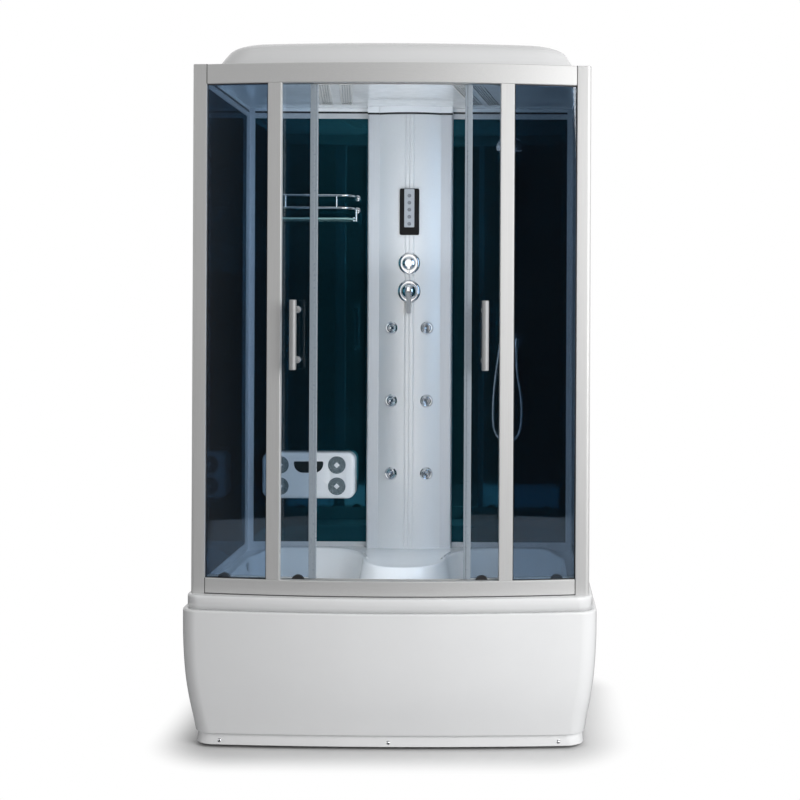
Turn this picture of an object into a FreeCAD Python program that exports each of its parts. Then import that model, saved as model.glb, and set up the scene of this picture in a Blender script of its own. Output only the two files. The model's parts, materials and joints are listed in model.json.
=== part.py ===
"""Steam shower cabin: a deep bath tub under a glazed cabin with two sliding doors on a bowed track.

Millimetres. +X is to the right and +Y to the back for someone who stands before the doors, and +Z is up.
The origin is the middle of the footprint on the floor. The bowed rails, the fixed front panes and the
doors share one upright axis, the centre of the bow, and the doors slide by turning about it.
"""

import FreeCAD, Part
import math
import os
from FreeCAD import Vector

# Overall sizes
CABIN_WIDTH = 1300.0
CABIN_DEPTH = 850.0
RIM_HEIGHT = 480.0
FRAME_HEIGHT = 1661.0
WALL_DROP = 21.0          # from the frame's top to the walls' top
ROOF_HEIGHT = 126.0

FRONT_Y = -CABIN_DEPTH / 2
BACK_Y = CABIN_DEPTH / 2
FRAME_TOP = RIM_HEIGHT + FRAME_HEIGHT
WALL_TOP = FRAME_TOP - WALL_DROP
WALL_HEIGHT = WALL_TOP - RIM_HEIGHT
UP = Vector(0, 0, 1)
INWARD = Vector(0, 1, 0)
RIGHT = Vector(1, 0, 0)

# Clearances shared by all pieces
FIT = 0.3          # between pieces that move past each other
RUNNING = 0.05     # radial, between a pin and its bore
OVERRUN = 10.0     # how far a cutting tool passes the face it cuts
TILE = 5.0         # glass thickness

# Bowed front frame
FRAME_SETBACK = 45.0
POST_WIDTH = 44.0
FRAME_INSET = 24.0       # from the apron's side to the frame's
BOW_RISE = 46.0
RAIL_DEPTH = 40.0
TOP_RAIL_HEIGHT = 62.0
BOTTOM_RAIL_HEIGHT = 49.0
PANE_DEPTH = 8.0        # from the frame's front to the fixed pane's front
DOOR_DEPTH = 26.0       # from the frame's front to the door pane's front
GROOVE_DEPTH = 10.0     # how far a pane's groove goes in
TRACK_FRONT = 20.0
TRACK_BACK = 38.0
TRACK_DEPTH = 22.0
GUIDE_DEPTH = 30.0
MULLION_WIDTH = 43.0
MULLION_DEPTH = 20.0
POST_FLANGE = 21.0      # depth of the post in front of the door's pocket
POST_DEPTH = 50.0
POST_ROUND = 12.0
RAIL_ROUND = 3.0

FRAME_HALF_WIDTH = CABIN_WIDTH / 2 - FRAME_INSET
RAIL_HALF = FRAME_HALF_WIDTH - POST_WIDTH
MULLION_X = 0.62457 * RAIL_HALF
FRAME_FRONT_Y = FRONT_Y + FRAME_SETBACK
BOW_RADIUS = (RAIL_HALF**2 + BOW_RISE**2) / (2 * BOW_RISE)
BOW_CENTRE = Vector(0, FRAME_FRONT_Y + BOW_RADIUS, 0)
POST_FRONT_Y = FRAME_FRONT_Y + BOW_RISE
OPENING_BOTTOM = RIM_HEIGHT + BOTTOM_RAIL_HEIGHT
OPENING_TOP = FRAME_TOP - TOP_RAIL_HEIGHT

# Walls behind the frame
WALL_DEPTH = 29.0
WALL_LIP = 3.0
WALL_BOTTOM_RAIL = 33.0
WALL_TOP_RAIL = 39.0
SHADOW_GAP = 20.0
CORNER_WIDTH = 48.0
CORNER_DEPTH = 75.0
TRIM_WIDTH = 42.0
TRIM_DEPTH = 73.0
TRIM_ROUND = 8.0

WALL_INNER_X = FRAME_HALF_WIDTH - WALL_DEPTH
BACK_INNER_Y = BACK_Y - WALL_DEPTH
SIDE_PANE_X = WALL_INNER_X + WALL_LIP
BACK_PANE_Y = BACK_INNER_Y + WALL_LIP
POST_BACK_Y = POST_FRONT_Y + POST_DEPTH
CORNER_FRONT_Y = BACK_Y - CORNER_DEPTH
CORNER_INNER_X = FRAME_HALF_WIDTH - CORNER_WIDTH

# Control column
COLUMN_HALF = 114.0
COLUMN_BULGE = 20.0
COLUMN_SHEET = 3.0
COLUMN_DEPTH = 63.0
COLUMN_GROOVE_SPACING = 15.6
COLUMN_GROOVE_WIDTH = 4.0
COLUMN_GROOVE_DEPTH = 1.5

COLUMN_FRONT_Y = BACK_PANE_Y - COLUMN_DEPTH
COLUMN_RADIUS = (COLUMN_HALF**2 + COLUMN_BULGE**2) / (2 * COLUMN_BULGE)
COLUMN_CENTRE = Vector(0, COLUMN_FRONT_Y + COLUMN_RADIUS, 0)
TRIM_OUTER_X = COLUMN_HALF + TRIM_WIDTH
BACK_PANE_X = (TRIM_OUTER_X + CORNER_INNER_X) / 2
BACK_PANE_WIDTH = CORNER_INNER_X - TRIM_OUTER_X


def box(x0, x1, y0, y1, z0, z1):
    """A block between two corners."""
    return Part.makeBox(x1 - x0, y1 - y0, z1 - z0, Vector(x0, y0, z0))


def prism(points, z0, z1):
    """An upright prism over a plan of (x, y) points."""
    corners = [Vector(x, y, z0) for x, y in points]
    return Part.Face(Part.makePolygon(corners + corners[:1])).extrude(UP * (z1 - z0))


def disc(radius, length, start, axis):
    """A cylinder from start along axis."""
    return Part.makeCylinder(radius, length, start, axis)


def spun(outline, start, axis):
    """Turn an outline of (radius, distance along axis) points about the axis through start."""
    side = axis.cross(RIGHT)
    if side.Length < 0.5:
        side = axis.cross(UP)
    side.normalize()
    points = [start + side * radius + axis * along for radius, along in outline]
    return Part.Face(Part.makePolygon(points + points[:1])).revolve(start, axis, 360)


def mirrored(shape):
    """The same shape on the other side of the cabin."""
    return shape.mirror(Vector(0, 0, 0), RIGHT)


def on_bow(depth, angle, z=0.0):
    """The point at a depth behind the frame's front, at an angle in radians round the bow."""
    radius = BOW_RADIUS - depth
    return Vector(radius * math.sin(angle), BOW_CENTRE.y - radius * math.cos(angle), z)


def bow_angle(x):
    """The angle round the bow of a point x to the right on the frame's front."""
    return math.asin(x / BOW_RADIUS)


def bowed(profile, start, end):
    """Turn a profile of (depth, z) points about the bow's centre from one angle to another."""
    points = [Vector(0, FRAME_FRONT_Y + depth, z) for depth, z in profile]
    face = Part.Face(Part.makePolygon(points + points[:1]))
    face.rotate(BOW_CENTRE, UP, math.degrees(start))
    return face.revolve(BOW_CENTRE, UP, math.degrees(end - start))


def bowed_bar(front, back, z0, z1, x0, x1):
    """A bowed bar between two depths, with upright ends square to the bow."""
    return bowed([(front, z0), (back, z0), (back, z1), (front, z1)], bow_angle(x0), bow_angle(x1))


def bowed_plan(half_width, bow, front_y, back_y, corner, back_corner, z):
    """A closed plan with a bowed front, straight sides and four rounded corners, as one wire."""
    radius = (half_width**2 + bow**2) / (2 * bow)
    centre_y = front_y + radius
    inner_x = half_width - corner
    corner_y = centre_y - math.sqrt((radius - corner) ** 2 - inner_x**2)
    reach = radius / (radius - corner)
    front_x = inner_x * reach
    bow_y = centre_y + (corner_y - centre_y) * reach
    lean = math.atan2(inner_x, centre_y - corner_y)
    middle = lean + (math.pi / 2 - lean) / 2
    round_x = inner_x + corner * math.sin(middle)
    round_y = corner_y - corner * math.cos(middle)
    diagonal = back_corner * (1 - math.sqrt(0.5))
    back_x = half_width - back_corner

    def at(x, y):
        return Vector(x, y, z)

    edges = [
        Part.Arc(at(-front_x, bow_y), at(0, front_y), at(front_x, bow_y)),
        Part.Arc(at(front_x, bow_y), at(round_x, round_y), at(half_width, corner_y)),
        Part.LineSegment(at(half_width, corner_y), at(half_width, back_y - back_corner)),
        Part.Arc(
            at(half_width, back_y - back_corner),
            at(half_width - diagonal, back_y - diagonal),
            at(back_x, back_y),
        ),
        Part.LineSegment(at(back_x, back_y), at(-back_x, back_y)),
        Part.Arc(
            at(-back_x, back_y),
            at(diagonal - half_width, back_y - diagonal),
            at(-half_width, back_y - back_corner),
        ),
        Part.LineSegment(at(-half_width, back_y - back_corner), at(-half_width, corner_y)),
        Part.Arc(at(-half_width, corner_y), at(-round_x, round_y), at(-front_x, bow_y)),
    ]
    return Part.Wire([edge.toShape() for edge in edges])


def ruled(wires):
    """A solid through plans, straight from one to the next."""
    return Part.makeLoft(wires, True, True)


def plan_prism(half_width, bow, front_y, back_y, corner, back_corner, z0, z1):
    """A prism over a bowed plan."""
    wire = bowed_plan(half_width, bow, front_y, back_y, corner, back_corner, z0)
    return Part.Face(wire).extrude(UP * (z1 - z0))


# Bath tub
RIM_INSET = 13.0
RIM_BOW = 50.0
RIM_CORNER = 55.0
RIM_BACK_CORNER = 6.0
RIM_LIP = 43.0
TUB_WALL = 5.0
RIM_ROUND = 7.0
RIM_SIDE = 70.0          # width of the flat rim beside the basin
RIM_FRONT = 242.0
RIM_BACK = 73.0
BASIN_BOW = 14.0
BASIN_CORNER = 120.0
BASIN_DEPTH = 355.0
BASIN_SLOPE = 62.0
BASIN_COVE = 30.0
SEAT_RADIUS = 150.0
SEAT_FLARE = 170.0
SEAT_REACH = 271.0
DRAIN_X = -330.0
DRAIN_Y = 60.0
DRAIN_RADIUS = 30.0
OVERFLOW_INSET = 134.0   # from the basin's back edge
OVERFLOW_DROP = 27.0
OVERFLOW_RADIUS = 9.0

RIM_HALF_WIDTH = CABIN_WIDTH / 2 - RIM_INSET
RIM_FRONT_Y = FRONT_Y + RIM_INSET
BASIN_HALF_WIDTH = RIM_HALF_WIDTH - RIM_SIDE
BASIN_FRONT_Y = RIM_FRONT_Y + RIM_FRONT
BASIN_BACK_Y = BACK_Y - RIM_BACK
BASIN_FLOOR = RIM_HEIGHT - BASIN_DEPTH
SEAT_FRONT_Y = BASIN_BACK_Y - SEAT_REACH
OVERFLOW_Y = BASIN_BACK_Y - OVERFLOW_INSET


def basin_solid(grow, top):
    """The basin's space, made larger by grow on its sides and floor."""
    floor = BASIN_FLOOR - grow

    def plan(inset, corner, z):
        return bowed_plan(
            BASIN_HALF_WIDTH + grow - inset,
            BASIN_BOW,
            BASIN_FRONT_Y - grow + inset,
            BASIN_BACK_Y + grow - inset,
            corner + grow,
            corner + grow,
            z,
        )

    low = plan(BASIN_SLOPE + BASIN_COVE, BASIN_CORNER - BASIN_COVE, floor)
    cove = plan(BASIN_SLOPE, BASIN_CORNER, floor + BASIN_COVE)
    high = plan(0, BASIN_CORNER, top)
    return ruled([low, cove, high])


def seat_plan(shrink, z):
    """The moulded seat's plan: a round front that flares into the back of the basin."""
    radius = SEAT_RADIUS - shrink
    flare = SEAT_FLARE + shrink
    centre_y = SEAT_FRONT_Y + SEAT_RADIUS
    back = BASIN_BACK_Y
    flare_y = back - flare
    reach = radius + flare
    flare_x = math.sqrt(reach**2 - (flare_y - centre_y) ** 2)
    touch_x = flare_x * radius / reach
    touch_y = centre_y + (flare_y - centre_y) * radius / reach
    start = math.atan2(touch_y - flare_y, touch_x - flare_x)
    middle = (start + math.pi / 2) / 2
    mid_x = flare_x + flare * math.cos(middle)
    mid_y = flare_y + flare * math.sin(middle)
    far = BASIN_BACK_Y + SEAT_RADIUS
    points = [Vector(side * flare_x, back, z) for side in (-1, 1)]
    touch = [Vector(side * touch_x, touch_y, z) for side in (-1, 1)]
    bend = [Vector(side * mid_x, mid_y, z) for side in (-1, 1)]
    rear = [Vector(side * flare_x, far, z) for side in (-1, 1)]
    edges = [
        Part.Arc(points[0], bend[0], touch[0]),
        Part.Arc(touch[0], Vector(0, centre_y - radius, z), touch[1]),
        Part.Arc(touch[1], bend[1], points[1]),
        Part.LineSegment(points[1], rear[1]),
        Part.LineSegment(rear[1], rear[0]),
        Part.LineSegment(rear[0], points[0]),
    ]
    return Part.Wire([edge.toShape() for edge in edges])


def seat_solid(shrink, top):
    """The moulded seat, upright from under the basin's floor to its top."""
    low = BASIN_FLOOR - TUB_WALL - OVERRUN
    return Part.Face(seat_plan(shrink, low)).extrude(UP * (top - low))


def bath_tub():
    """One moulding: a rim with a turned-down lip, and a sloping basin with a seat in its back."""
    rim_bottom = RIM_HEIGHT - RIM_LIP
    rim = plan_prism(
        RIM_HALF_WIDTH, RIM_BOW, RIM_FRONT_Y, BACK_Y, RIM_CORNER, RIM_BACK_CORNER, rim_bottom, RIM_HEIGHT
    )
    top_edges = [
        e for e in rim.Edges if e.BoundBox.ZMin > RIM_HEIGHT - FIT and e.BoundBox.YMin < BACK_Y - FIT
    ]
    rim = rim.makeFillet(RIM_ROUND, top_edges)
    hollow = plan_prism(
        RIM_HALF_WIDTH - TUB_WALL,
        RIM_BOW,
        RIM_FRONT_Y + TUB_WALL,
        BACK_Y - TUB_WALL,
        RIM_CORNER - TUB_WALL,
        RIM_BACK_CORNER - TUB_WALL,
        rim_bottom - OVERRUN,
        RIM_HEIGHT - TUB_WALL,
    )
    shell = rim.cut(hollow).fuse(basin_solid(TUB_WALL, RIM_HEIGHT - TUB_WALL))
    cavity = basin_solid(0, RIM_HEIGHT).cut(seat_solid(0, RIM_HEIGHT))
    under_seat = seat_solid(TUB_WALL, RIM_HEIGHT - TUB_WALL).common(
        basin_solid(0, RIM_HEIGHT).fuse(
            box(-BASIN_HALF_WIDTH, BASIN_HALF_WIDTH, SEAT_FRONT_Y, BASIN_BACK_Y, 0, BASIN_FLOOR + TUB_WALL)
        )
    )
    drain_foot = Vector(DRAIN_X, DRAIN_Y, BASIN_FLOOR - TUB_WALL - OVERRUN)
    drain = disc(DRAIN_RADIUS, TUB_WALL + 2 * OVERRUN, drain_foot, UP)
    overflow = disc(
        OVERFLOW_RADIUS,
        BASIN_SLOPE,
        Vector(-BASIN_HALF_WIDTH - BASIN_SLOPE / 2, OVERFLOW_Y, RIM_HEIGHT - OVERFLOW_DROP),
        RIGHT,
    )
    return shell.cut(cavity).cut(under_seat).cut(drain).cut(overflow)


# Front apron with its recessed kick strip: height above the floor, inset from the widest plan, bow
APRON_FOOT_INSET = 35.0
APRON_CORNER = 62.0
APRON_SHEET = 4.0
APRON_BOW = 50.0
KICK_HEIGHT = 48.0
KICK_STEP = 7.0
KICK_ROUND = 12.0
KICK_BOW = 22.0
APRON_LEDGE = 16.0
APRON_ROUND = 6.0
APRON_LEAN_SHARES = (
    (0.0, 1.0), (0.12, 0.80), (0.28, 0.50), (0.44, 0.26), (0.60, 0.11), (0.78, 0.02), (0.92, 0.0)
)
SCREW_RADIUS = 8.0
SCREW_HEIGHT = 4.0
SCREW_Z = 22.0
SCREW_INSET = 120.0      # from the apron's side

APRON_TOP = RIM_HEIGHT - RIM_LIP
KICK_INSET = APRON_FOOT_INSET + KICK_STEP
SCREW_X = CABIN_WIDTH / 2 - SCREW_INSET


def apron_plan(inset, bow, z, sheet, back):
    """The apron's outline at one height, sheet millimetres inside its outer face."""
    return bowed_plan(
        CABIN_WIDTH / 2 - inset - sheet,
        bow,
        FRONT_Y + inset * (1 + (APRON_BOW - bow) / APRON_BOW) + sheet,
        back,
        APRON_CORNER - sheet,
        RIM_BACK_CORNER,
        z,
    )


def apron_solid(sheet, back):
    """The apron's outer form, or the space inside its sheet."""
    lean_top = APRON_TOP - APRON_ROUND
    lean_height = lean_top - KICK_HEIGHT
    plans = []
    if sheet:
        plans.append(apron_plan(KICK_INSET + KICK_ROUND, KICK_BOW, -OVERRUN, sheet, back))
    plans.append(apron_plan(KICK_INSET + KICK_ROUND, KICK_BOW, 0, sheet, back))
    plans.append(apron_plan(KICK_INSET + KICK_ROUND / 3, KICK_BOW, KICK_ROUND / 3, sheet, back))
    plans.append(apron_plan(KICK_INSET, KICK_BOW, KICK_ROUND, sheet, back))
    plans.append(apron_plan(KICK_INSET, KICK_BOW, KICK_HEIGHT - KICK_STEP / 2, sheet, back))
    for height_share, inset_share in APRON_LEAN_SHARES:
        bow = APRON_BOW + (KICK_BOW - APRON_BOW) * inset_share
        z = KICK_HEIGHT + height_share * lean_height
        plans.append(apron_plan(APRON_FOOT_INSET * inset_share, bow, z, sheet, back))
    if sheet:
        plans.append(apron_plan(0, APRON_BOW, APRON_TOP - sheet, sheet, back))
    else:
        plans.append(apron_plan(0, APRON_BOW, lean_top, sheet, back))
        plans.append(apron_plan(APRON_ROUND, APRON_BOW, APRON_TOP, sheet, back))
    return ruled(plans)


def front_skirt():
    """The white apron round the front and both sides, with a ledge that the tub's lip stands on."""
    shell = apron_solid(0, BACK_Y).cut(apron_solid(APRON_SHEET, BACK_Y + OVERRUN))
    ledge_hole = plan_prism(
        CABIN_WIDTH / 2 - APRON_LEDGE - APRON_ROUND,
        APRON_BOW,
        FRONT_Y + APRON_LEDGE + APRON_ROUND,
        BACK_Y + OVERRUN,
        APRON_CORNER - APRON_LEDGE - APRON_ROUND,
        RIM_BACK_CORNER,
        APRON_TOP - APRON_SHEET - OVERRUN,
        APRON_TOP + OVERRUN,
    )
    shell = shell.cut(ledge_hole)
    for place in screw_places():
        outward = kick_outward(place.x)
        shell = shell.cut(disc(SCREW_RADIUS / 2, 2 * OVERRUN, place + outward * OVERRUN, -outward))
    return shell


def kick_radius():
    """The radius of the kick strip's bow."""
    half = CABIN_WIDTH / 2 - KICK_INSET
    return (half**2 + KICK_BOW**2) / (2 * KICK_BOW)


def kick_front_y(x):
    """Where the kick strip's face is at x."""
    front = FRONT_Y + KICK_INSET * (1 + (APRON_BOW - KICK_BOW) / APRON_BOW)
    return front + kick_radius() - math.sqrt(kick_radius() ** 2 - x**2)


def kick_outward(x):
    """The way the kick strip's face looks at x."""
    lean = math.asin(x / kick_radius())
    return Vector(math.sin(lean), -math.cos(lean), 0)


def screw_places():
    """The three points on the kick strip's face where it is screwed on."""
    return [Vector(x, kick_front_y(x), SCREW_Z) for x in (-SCREW_X, 0, SCREW_X)]


def skirt_screws():
    """Three domed screw caps, each on a shank through the kick strip."""
    caps = []
    for place in screw_places():
        outline = [
            (0, -OVERRUN),
            (SCREW_RADIUS / 2 - RUNNING, -OVERRUN),
            (SCREW_RADIUS / 2 - RUNNING, 0),
            (SCREW_RADIUS, 0),
            (SCREW_RADIUS * 0.9, SCREW_HEIGHT / 2),
            (SCREW_RADIUS * 0.5, SCREW_HEIGHT * 0.9),
            (0, SCREW_HEIGHT),
        ]
        caps.append(spun(outline, place, kick_outward(place.x)))
    return Part.makeCompound(caps)


# Steel frame under the tub, on levelling feet
TUBE = 25.0
TUBE_WALL = 2.0
FRAME_X = 400.0
FRAME_FRONT_GAP = 107.0  # from the apron's front
FRAME_BACK_GAP = 37.0
FOOT_RADIUS = 26.0
FOOT_HEIGHT = 14.0
FOOT_STEM = 6.0
NUT_RADIUS = 11.0
NUT_HEIGHT = 10.0
FOOT_INSET = 60.0

FRAME_Y_FRONT = FRONT_Y + FRAME_FRONT_GAP
FRAME_Y_BACK = BACK_Y - FRAME_BACK_GAP
TUBE_TOP = BASIN_FLOOR - TUB_WALL
TUBE_BOTTOM = TUBE_TOP - TUBE


def square_tube(x0, x1, y0, y1, z0, z1):
    """A hollow square tube along the longest way of a box."""
    spans = [x1 - x0, y1 - y0, z1 - z0]
    grow = [OVERRUN if span == max(spans) else -TUBE_WALL for span in spans]
    inner = box(x0 - grow[0], x1 + grow[0], y0 - grow[1], y1 + grow[1], z0 - grow[2], z1 + grow[2])
    return box(x0, x1, y0, y1, z0, z1).cut(inner)


def tub_frame():
    """Three cross tubes, two long tubes butted between them, uprights to the rim, and the feet."""
    half = TUBE / 2
    tubes = []
    for x in (-FRAME_X, 0, FRAME_X):
        tubes.append(
            square_tube(x - half, x + half, FRAME_Y_FRONT - half, FRAME_Y_BACK + half, TUBE_BOTTOM, TUBE_TOP)
        )
        for y in (FRAME_Y_FRONT, FRAME_Y_BACK):
            top = RIM_HEIGHT - TUB_WALL
            tubes.append(square_tube(x - half, x + half, y - half, y + half, TUBE_TOP, top))
    for x in (-FRAME_X / 2, FRAME_X / 2):
        span = FRAME_X / 2 - half
        for y in (FRAME_Y_FRONT, FRAME_Y_BACK):
            tubes.append(square_tube(x - span, x + span, y - half, y + half, TUBE_BOTTOM, TUBE_TOP))
    return Part.makeCompound(tubes + levelling_feet())


def foot_places():
    """Two feet under each cross tube, near its ends."""
    rows = (FRAME_Y_FRONT + FOOT_INSET, FRAME_Y_BACK - FOOT_INSET)
    return [Vector(x, y, 0) for x in (-FRAME_X, 0, FRAME_X) for y in rows]


def levelling_feet():
    """Round pads on threaded stems, each with a lock nut under its tube."""
    feet = []
    for place in foot_places():
        outline = [
            (0, 0),
            (FOOT_RADIUS, 0),
            (FOOT_RADIUS, FOOT_HEIGHT / 3),
            (FOOT_STEM * 2, FOOT_HEIGHT),
            (FOOT_STEM, FOOT_HEIGHT),
            (FOOT_STEM, TUBE_BOTTOM),
            (0, TUBE_BOTTOM),
        ]
        corners = [
            (place.x + NUT_RADIUS * math.cos(turn * math.pi / 3), place.y + NUT_RADIUS * math.sin(turn * math.pi / 3))
            for turn in range(6)
        ]
        nut = prism(corners, TUBE_BOTTOM - NUT_HEIGHT, TUBE_BOTTOM)
        feet.append(spun(outline, place, UP).fuse(nut))
    return feet


# Waste, trap and overflow
WASTE_FLANGE = 42.0
WASTE_FLANGE_HEIGHT = 3.0
TRAP_RADIUS = 34.0
TRAP_BOTTOM = 32.0
PIPE_RADIUS = 20.0
PIPE_WALL = 2.0
PIPE_Z = 62.0
OVERFLOW_FACE = 14.0
OVERFLOW_PIPE = 8.0
OVERFLOW_RUN = 30.0


def overflow_wall_x():
    """Where the basin's left wall is at the height of the overflow."""
    drop_share = OVERFLOW_DROP / (BASIN_DEPTH - BASIN_COVE)
    return -BASIN_HALF_WIDTH + BASIN_SLOPE * drop_share


def waste_and_overflow():
    """Waste flange, bottle trap and outlet pipe, and an overflow with its pipe down to the trap."""
    top = BASIN_FLOOR
    centre = Vector(DRAIN_X, DRAIN_Y, 0)
    outline = [
        (0, TRAP_BOTTOM),
        (TRAP_RADIUS, TRAP_BOTTOM),
        (TRAP_RADIUS, top - TUB_WALL),
        (DRAIN_RADIUS - RUNNING, top - TUB_WALL),
        (DRAIN_RADIUS - RUNNING, top),
        (WASTE_FLANGE, top),
        (WASTE_FLANGE - WASTE_FLANGE_HEIGHT, top + WASTE_FLANGE_HEIGHT),
        (0, top + WASTE_FLANGE_HEIGHT),
    ]
    trap = spun(outline, centre, UP)
    pipe = disc(PIPE_RADIUS, BACK_Y - DRAIN_Y, Vector(DRAIN_X, DRAIN_Y, PIPE_Z), INWARD)
    z = RIM_HEIGHT - OVERFLOW_DROP
    wall_x = overflow_wall_x()
    back_x = wall_x - TUB_WALL - OVERFLOW_RUN
    head_place = Vector(wall_x - TUB_WALL / 2, OVERFLOW_Y, z)
    head = disc(OVERFLOW_FACE, WASTE_FLANGE_HEIGHT + TUB_WALL, head_place, RIGHT)
    head = head.common(basin_solid(0, RIM_HEIGHT))
    neck = disc(OVERFLOW_RADIUS - RUNNING, OVERFLOW_RUN + TUB_WALL, Vector(back_x, OVERFLOW_Y, z), RIGHT)
    across = Vector(DRAIN_X - back_x, DRAIN_Y - OVERFLOW_Y, 0)
    down = disc(OVERFLOW_PIPE, z - PIPE_Z, Vector(back_x, OVERFLOW_Y, PIPE_Z), UP)
    along = disc(OVERFLOW_PIPE, across.Length, Vector(back_x, OVERFLOW_Y, PIPE_Z), across)
    knees = [Part.makeSphere(OVERFLOW_PIPE, Vector(back_x, OVERFLOW_Y, height)) for height in (z, PIPE_Z)]
    whole = trap.fuse([pipe, head, neck, down, along] + knees)
    bore_start = Vector(DRAIN_X, DRAIN_Y + TRAP_RADIUS, PIPE_Z)
    bore = disc(PIPE_RADIUS - PIPE_WALL, BACK_Y - DRAIN_Y - TRAP_RADIUS, bore_start, INWARD)
    return whole.cut(bore)


# Front frame


def pane_groove(z0, z1, x0, x1):
    """The groove that a fixed front pane stands in."""
    return bowed_bar(PANE_DEPTH - FIT, PANE_DEPTH + TILE + FIT, z0, z1, x0, x1)


def post_right():
    """An upright with a round outer corner, a pocket for the door's edge and a groove for the side pane."""
    left, right = RAIL_HALF, FRAME_HALF_WIDTH
    flange_y = POST_FRONT_Y + POST_FLANGE
    middle = POST_ROUND * (1 - math.sqrt(0.5))
    corners = [
        Vector(left, POST_FRONT_Y, RIM_HEIGHT),
        Vector(right - POST_ROUND, POST_FRONT_Y, RIM_HEIGHT),
        Vector(right - middle, POST_FRONT_Y + middle, RIM_HEIGHT),
        Vector(right, POST_FRONT_Y + POST_ROUND, RIM_HEIGHT),
        Vector(right, POST_BACK_Y, RIM_HEIGHT),
        Vector(WALL_INNER_X, POST_BACK_Y, RIM_HEIGHT),
        Vector(WALL_INNER_X, flange_y, RIM_HEIGHT),
        Vector(left, flange_y, RIM_HEIGHT),
    ]
    edges = [Part.LineSegment(corners[0], corners[1]), Part.Arc(corners[1], corners[2], corners[3])]
    edges += [Part.LineSegment(a, b) for a, b in zip(corners[3:], corners[4:] + corners[:1])]
    post = Part.Face(Part.Wire([edge.toShape() for edge in edges])).extrude(UP * FRAME_HEIGHT)
    front_groove = pane_groove(
        OPENING_BOTTOM - GROOVE_DEPTH, OPENING_TOP + GROOVE_DEPTH, left - OVERRUN, left + GROOVE_DEPTH
    )
    side_groove = box(
        SIDE_PANE_X - FIT,
        SIDE_PANE_X + TILE + FIT,
        POST_BACK_Y - GROOVE_DEPTH,
        POST_BACK_Y + OVERRUN,
        RIM_HEIGHT + WALL_BOTTOM_RAIL - GROOVE_DEPTH,
        WALL_TOP - WALL_TOP_RAIL + GROOVE_DEPTH,
    )
    return post.cut(front_groove).cut(side_groove)


def between_posts(bar):
    """Trim a bowed bar flush with the posts' inner faces."""
    return bar.common(box(-RAIL_HALF, RAIL_HALF, FRONT_Y, BACK_Y, 0, FRAME_TOP + OVERRUN))


def top_rail():
    """The bowed top rail: a groove for the fixed panes and a channel for the doors' guide shoes."""
    low, high = OPENING_TOP, FRAME_TOP
    groove_top = low + GROOVE_DEPTH
    profile = [
        (0, low + RAIL_ROUND),
        (RAIL_ROUND, low),
        (PANE_DEPTH - FIT, low),
        (PANE_DEPTH - FIT, groove_top),
        (PANE_DEPTH + TILE + FIT, groove_top),
        (PANE_DEPTH + TILE + FIT, low),
        (TRACK_FRONT, low),
        (TRACK_FRONT, low + GUIDE_DEPTH),
        (TRACK_BACK, low + GUIDE_DEPTH),
        (TRACK_BACK, low),
        (RAIL_DEPTH, low),
        (RAIL_DEPTH, high),
        (RAIL_ROUND, high),
        (0, high - RAIL_ROUND),
    ]
    reach = bow_angle(RAIL_HALF + RAIL_DEPTH)
    return between_posts(bowed(profile, -reach, reach))


def bottom_rail():
    """The bowed sill: a groove for the fixed panes and the track that the doors' wheels run in."""
    low, high = RIM_HEIGHT, OPENING_BOTTOM
    groove_floor = high - GROOVE_DEPTH
    profile = [
        (0, low),
        (RAIL_DEPTH, low),
        (RAIL_DEPTH, high),
        (TRACK_BACK, high),
        (TRACK_BACK, high - TRACK_DEPTH),
        (TRACK_FRONT, high - TRACK_DEPTH),
        (TRACK_FRONT, high),
        (PANE_DEPTH + TILE + FIT, high),
        (PANE_DEPTH + TILE + FIT, groove_floor),
        (PANE_DEPTH - FIT, groove_floor),
        (PANE_DEPTH - FIT, high),
        (RAIL_ROUND, high),
        (0, high - RAIL_ROUND),
    ]
    reach = bow_angle(RAIL_HALF + RAIL_DEPTH)
    return between_posts(bowed(profile, -reach, reach))


def mullions():
    """Two fixed uprights between the rails, each with a groove for the pane beside it."""
    inner, outer = MULLION_X - MULLION_WIDTH / 2, MULLION_X + MULLION_WIDTH / 2
    bar = bowed_bar(0, MULLION_DEPTH, OPENING_BOTTOM, OPENING_TOP, inner, outer)
    low, high = OPENING_BOTTOM - OVERRUN, OPENING_TOP + OVERRUN
    groove = pane_groove(low, high, outer - GROOVE_DEPTH, outer + OVERRUN)
    right = bar.cut(groove)
    return Part.makeCompound([right, mirrored(right)])


def fixed_glass_right():
    """The fixed front pane between the mullion and the post, let into all four."""
    edge = GROOVE_DEPTH - FIT
    return bowed_bar(
        PANE_DEPTH,
        PANE_DEPTH + TILE,
        OPENING_BOTTOM - edge,
        OPENING_TOP + edge,
        MULLION_X + MULLION_WIDTH / 2 - edge,
        RAIL_HALF + edge,
    )


# Sliding doors: x values are at the doors' rest, fully open
DOOR_STOP_GAP = 3.0      # from the trailing edge to the side wall's inner face
EDGE_WIDTH = 15.0
MAGNET_WIDTH = 8.0
EDGE_FRONT = 21.0
EDGE_BACK = 36.0
EDGE_GAP = 2.0
EDGE_GRIP = 7.0
TRAIL_SEAL = 6.0
TRAIL_LIP = 2.0
DOOR_GLASS_GAP = 5.0     # from the sill's top to the door pane
DOOR_GLASS_ABOVE = 10.0  # how far the pane reaches into the top channel
CARRIER_INSETS = (58.0, 66.0)   # from the door's leading and trailing edges
CARRIER_WIDTH = 40.0
CARRIER_FRONT = 22.0
CARRIER_BACK = 35.0
CARRIER_BASE = 3.0
CARRIER_TOP = 13.0
WHEEL_RADIUS = 11.0
WHEEL_WIDTH = 7.0
WHEEL_POCKET = 1.0
AXLE_RADIUS = 2.5
SHOE_HEIGHT = 24.0
SHOE_FRONT = 21.5
SHOE_BACK = 36.5
HANDLE_INSET = 63.0      # from the door's leading edge
HANDLE_Z = 1293.5
HANDLE_LENGTH = 217.0
HANDLE_RADIUS = 11.0
HANDLE_REACH = 55.0
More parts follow.
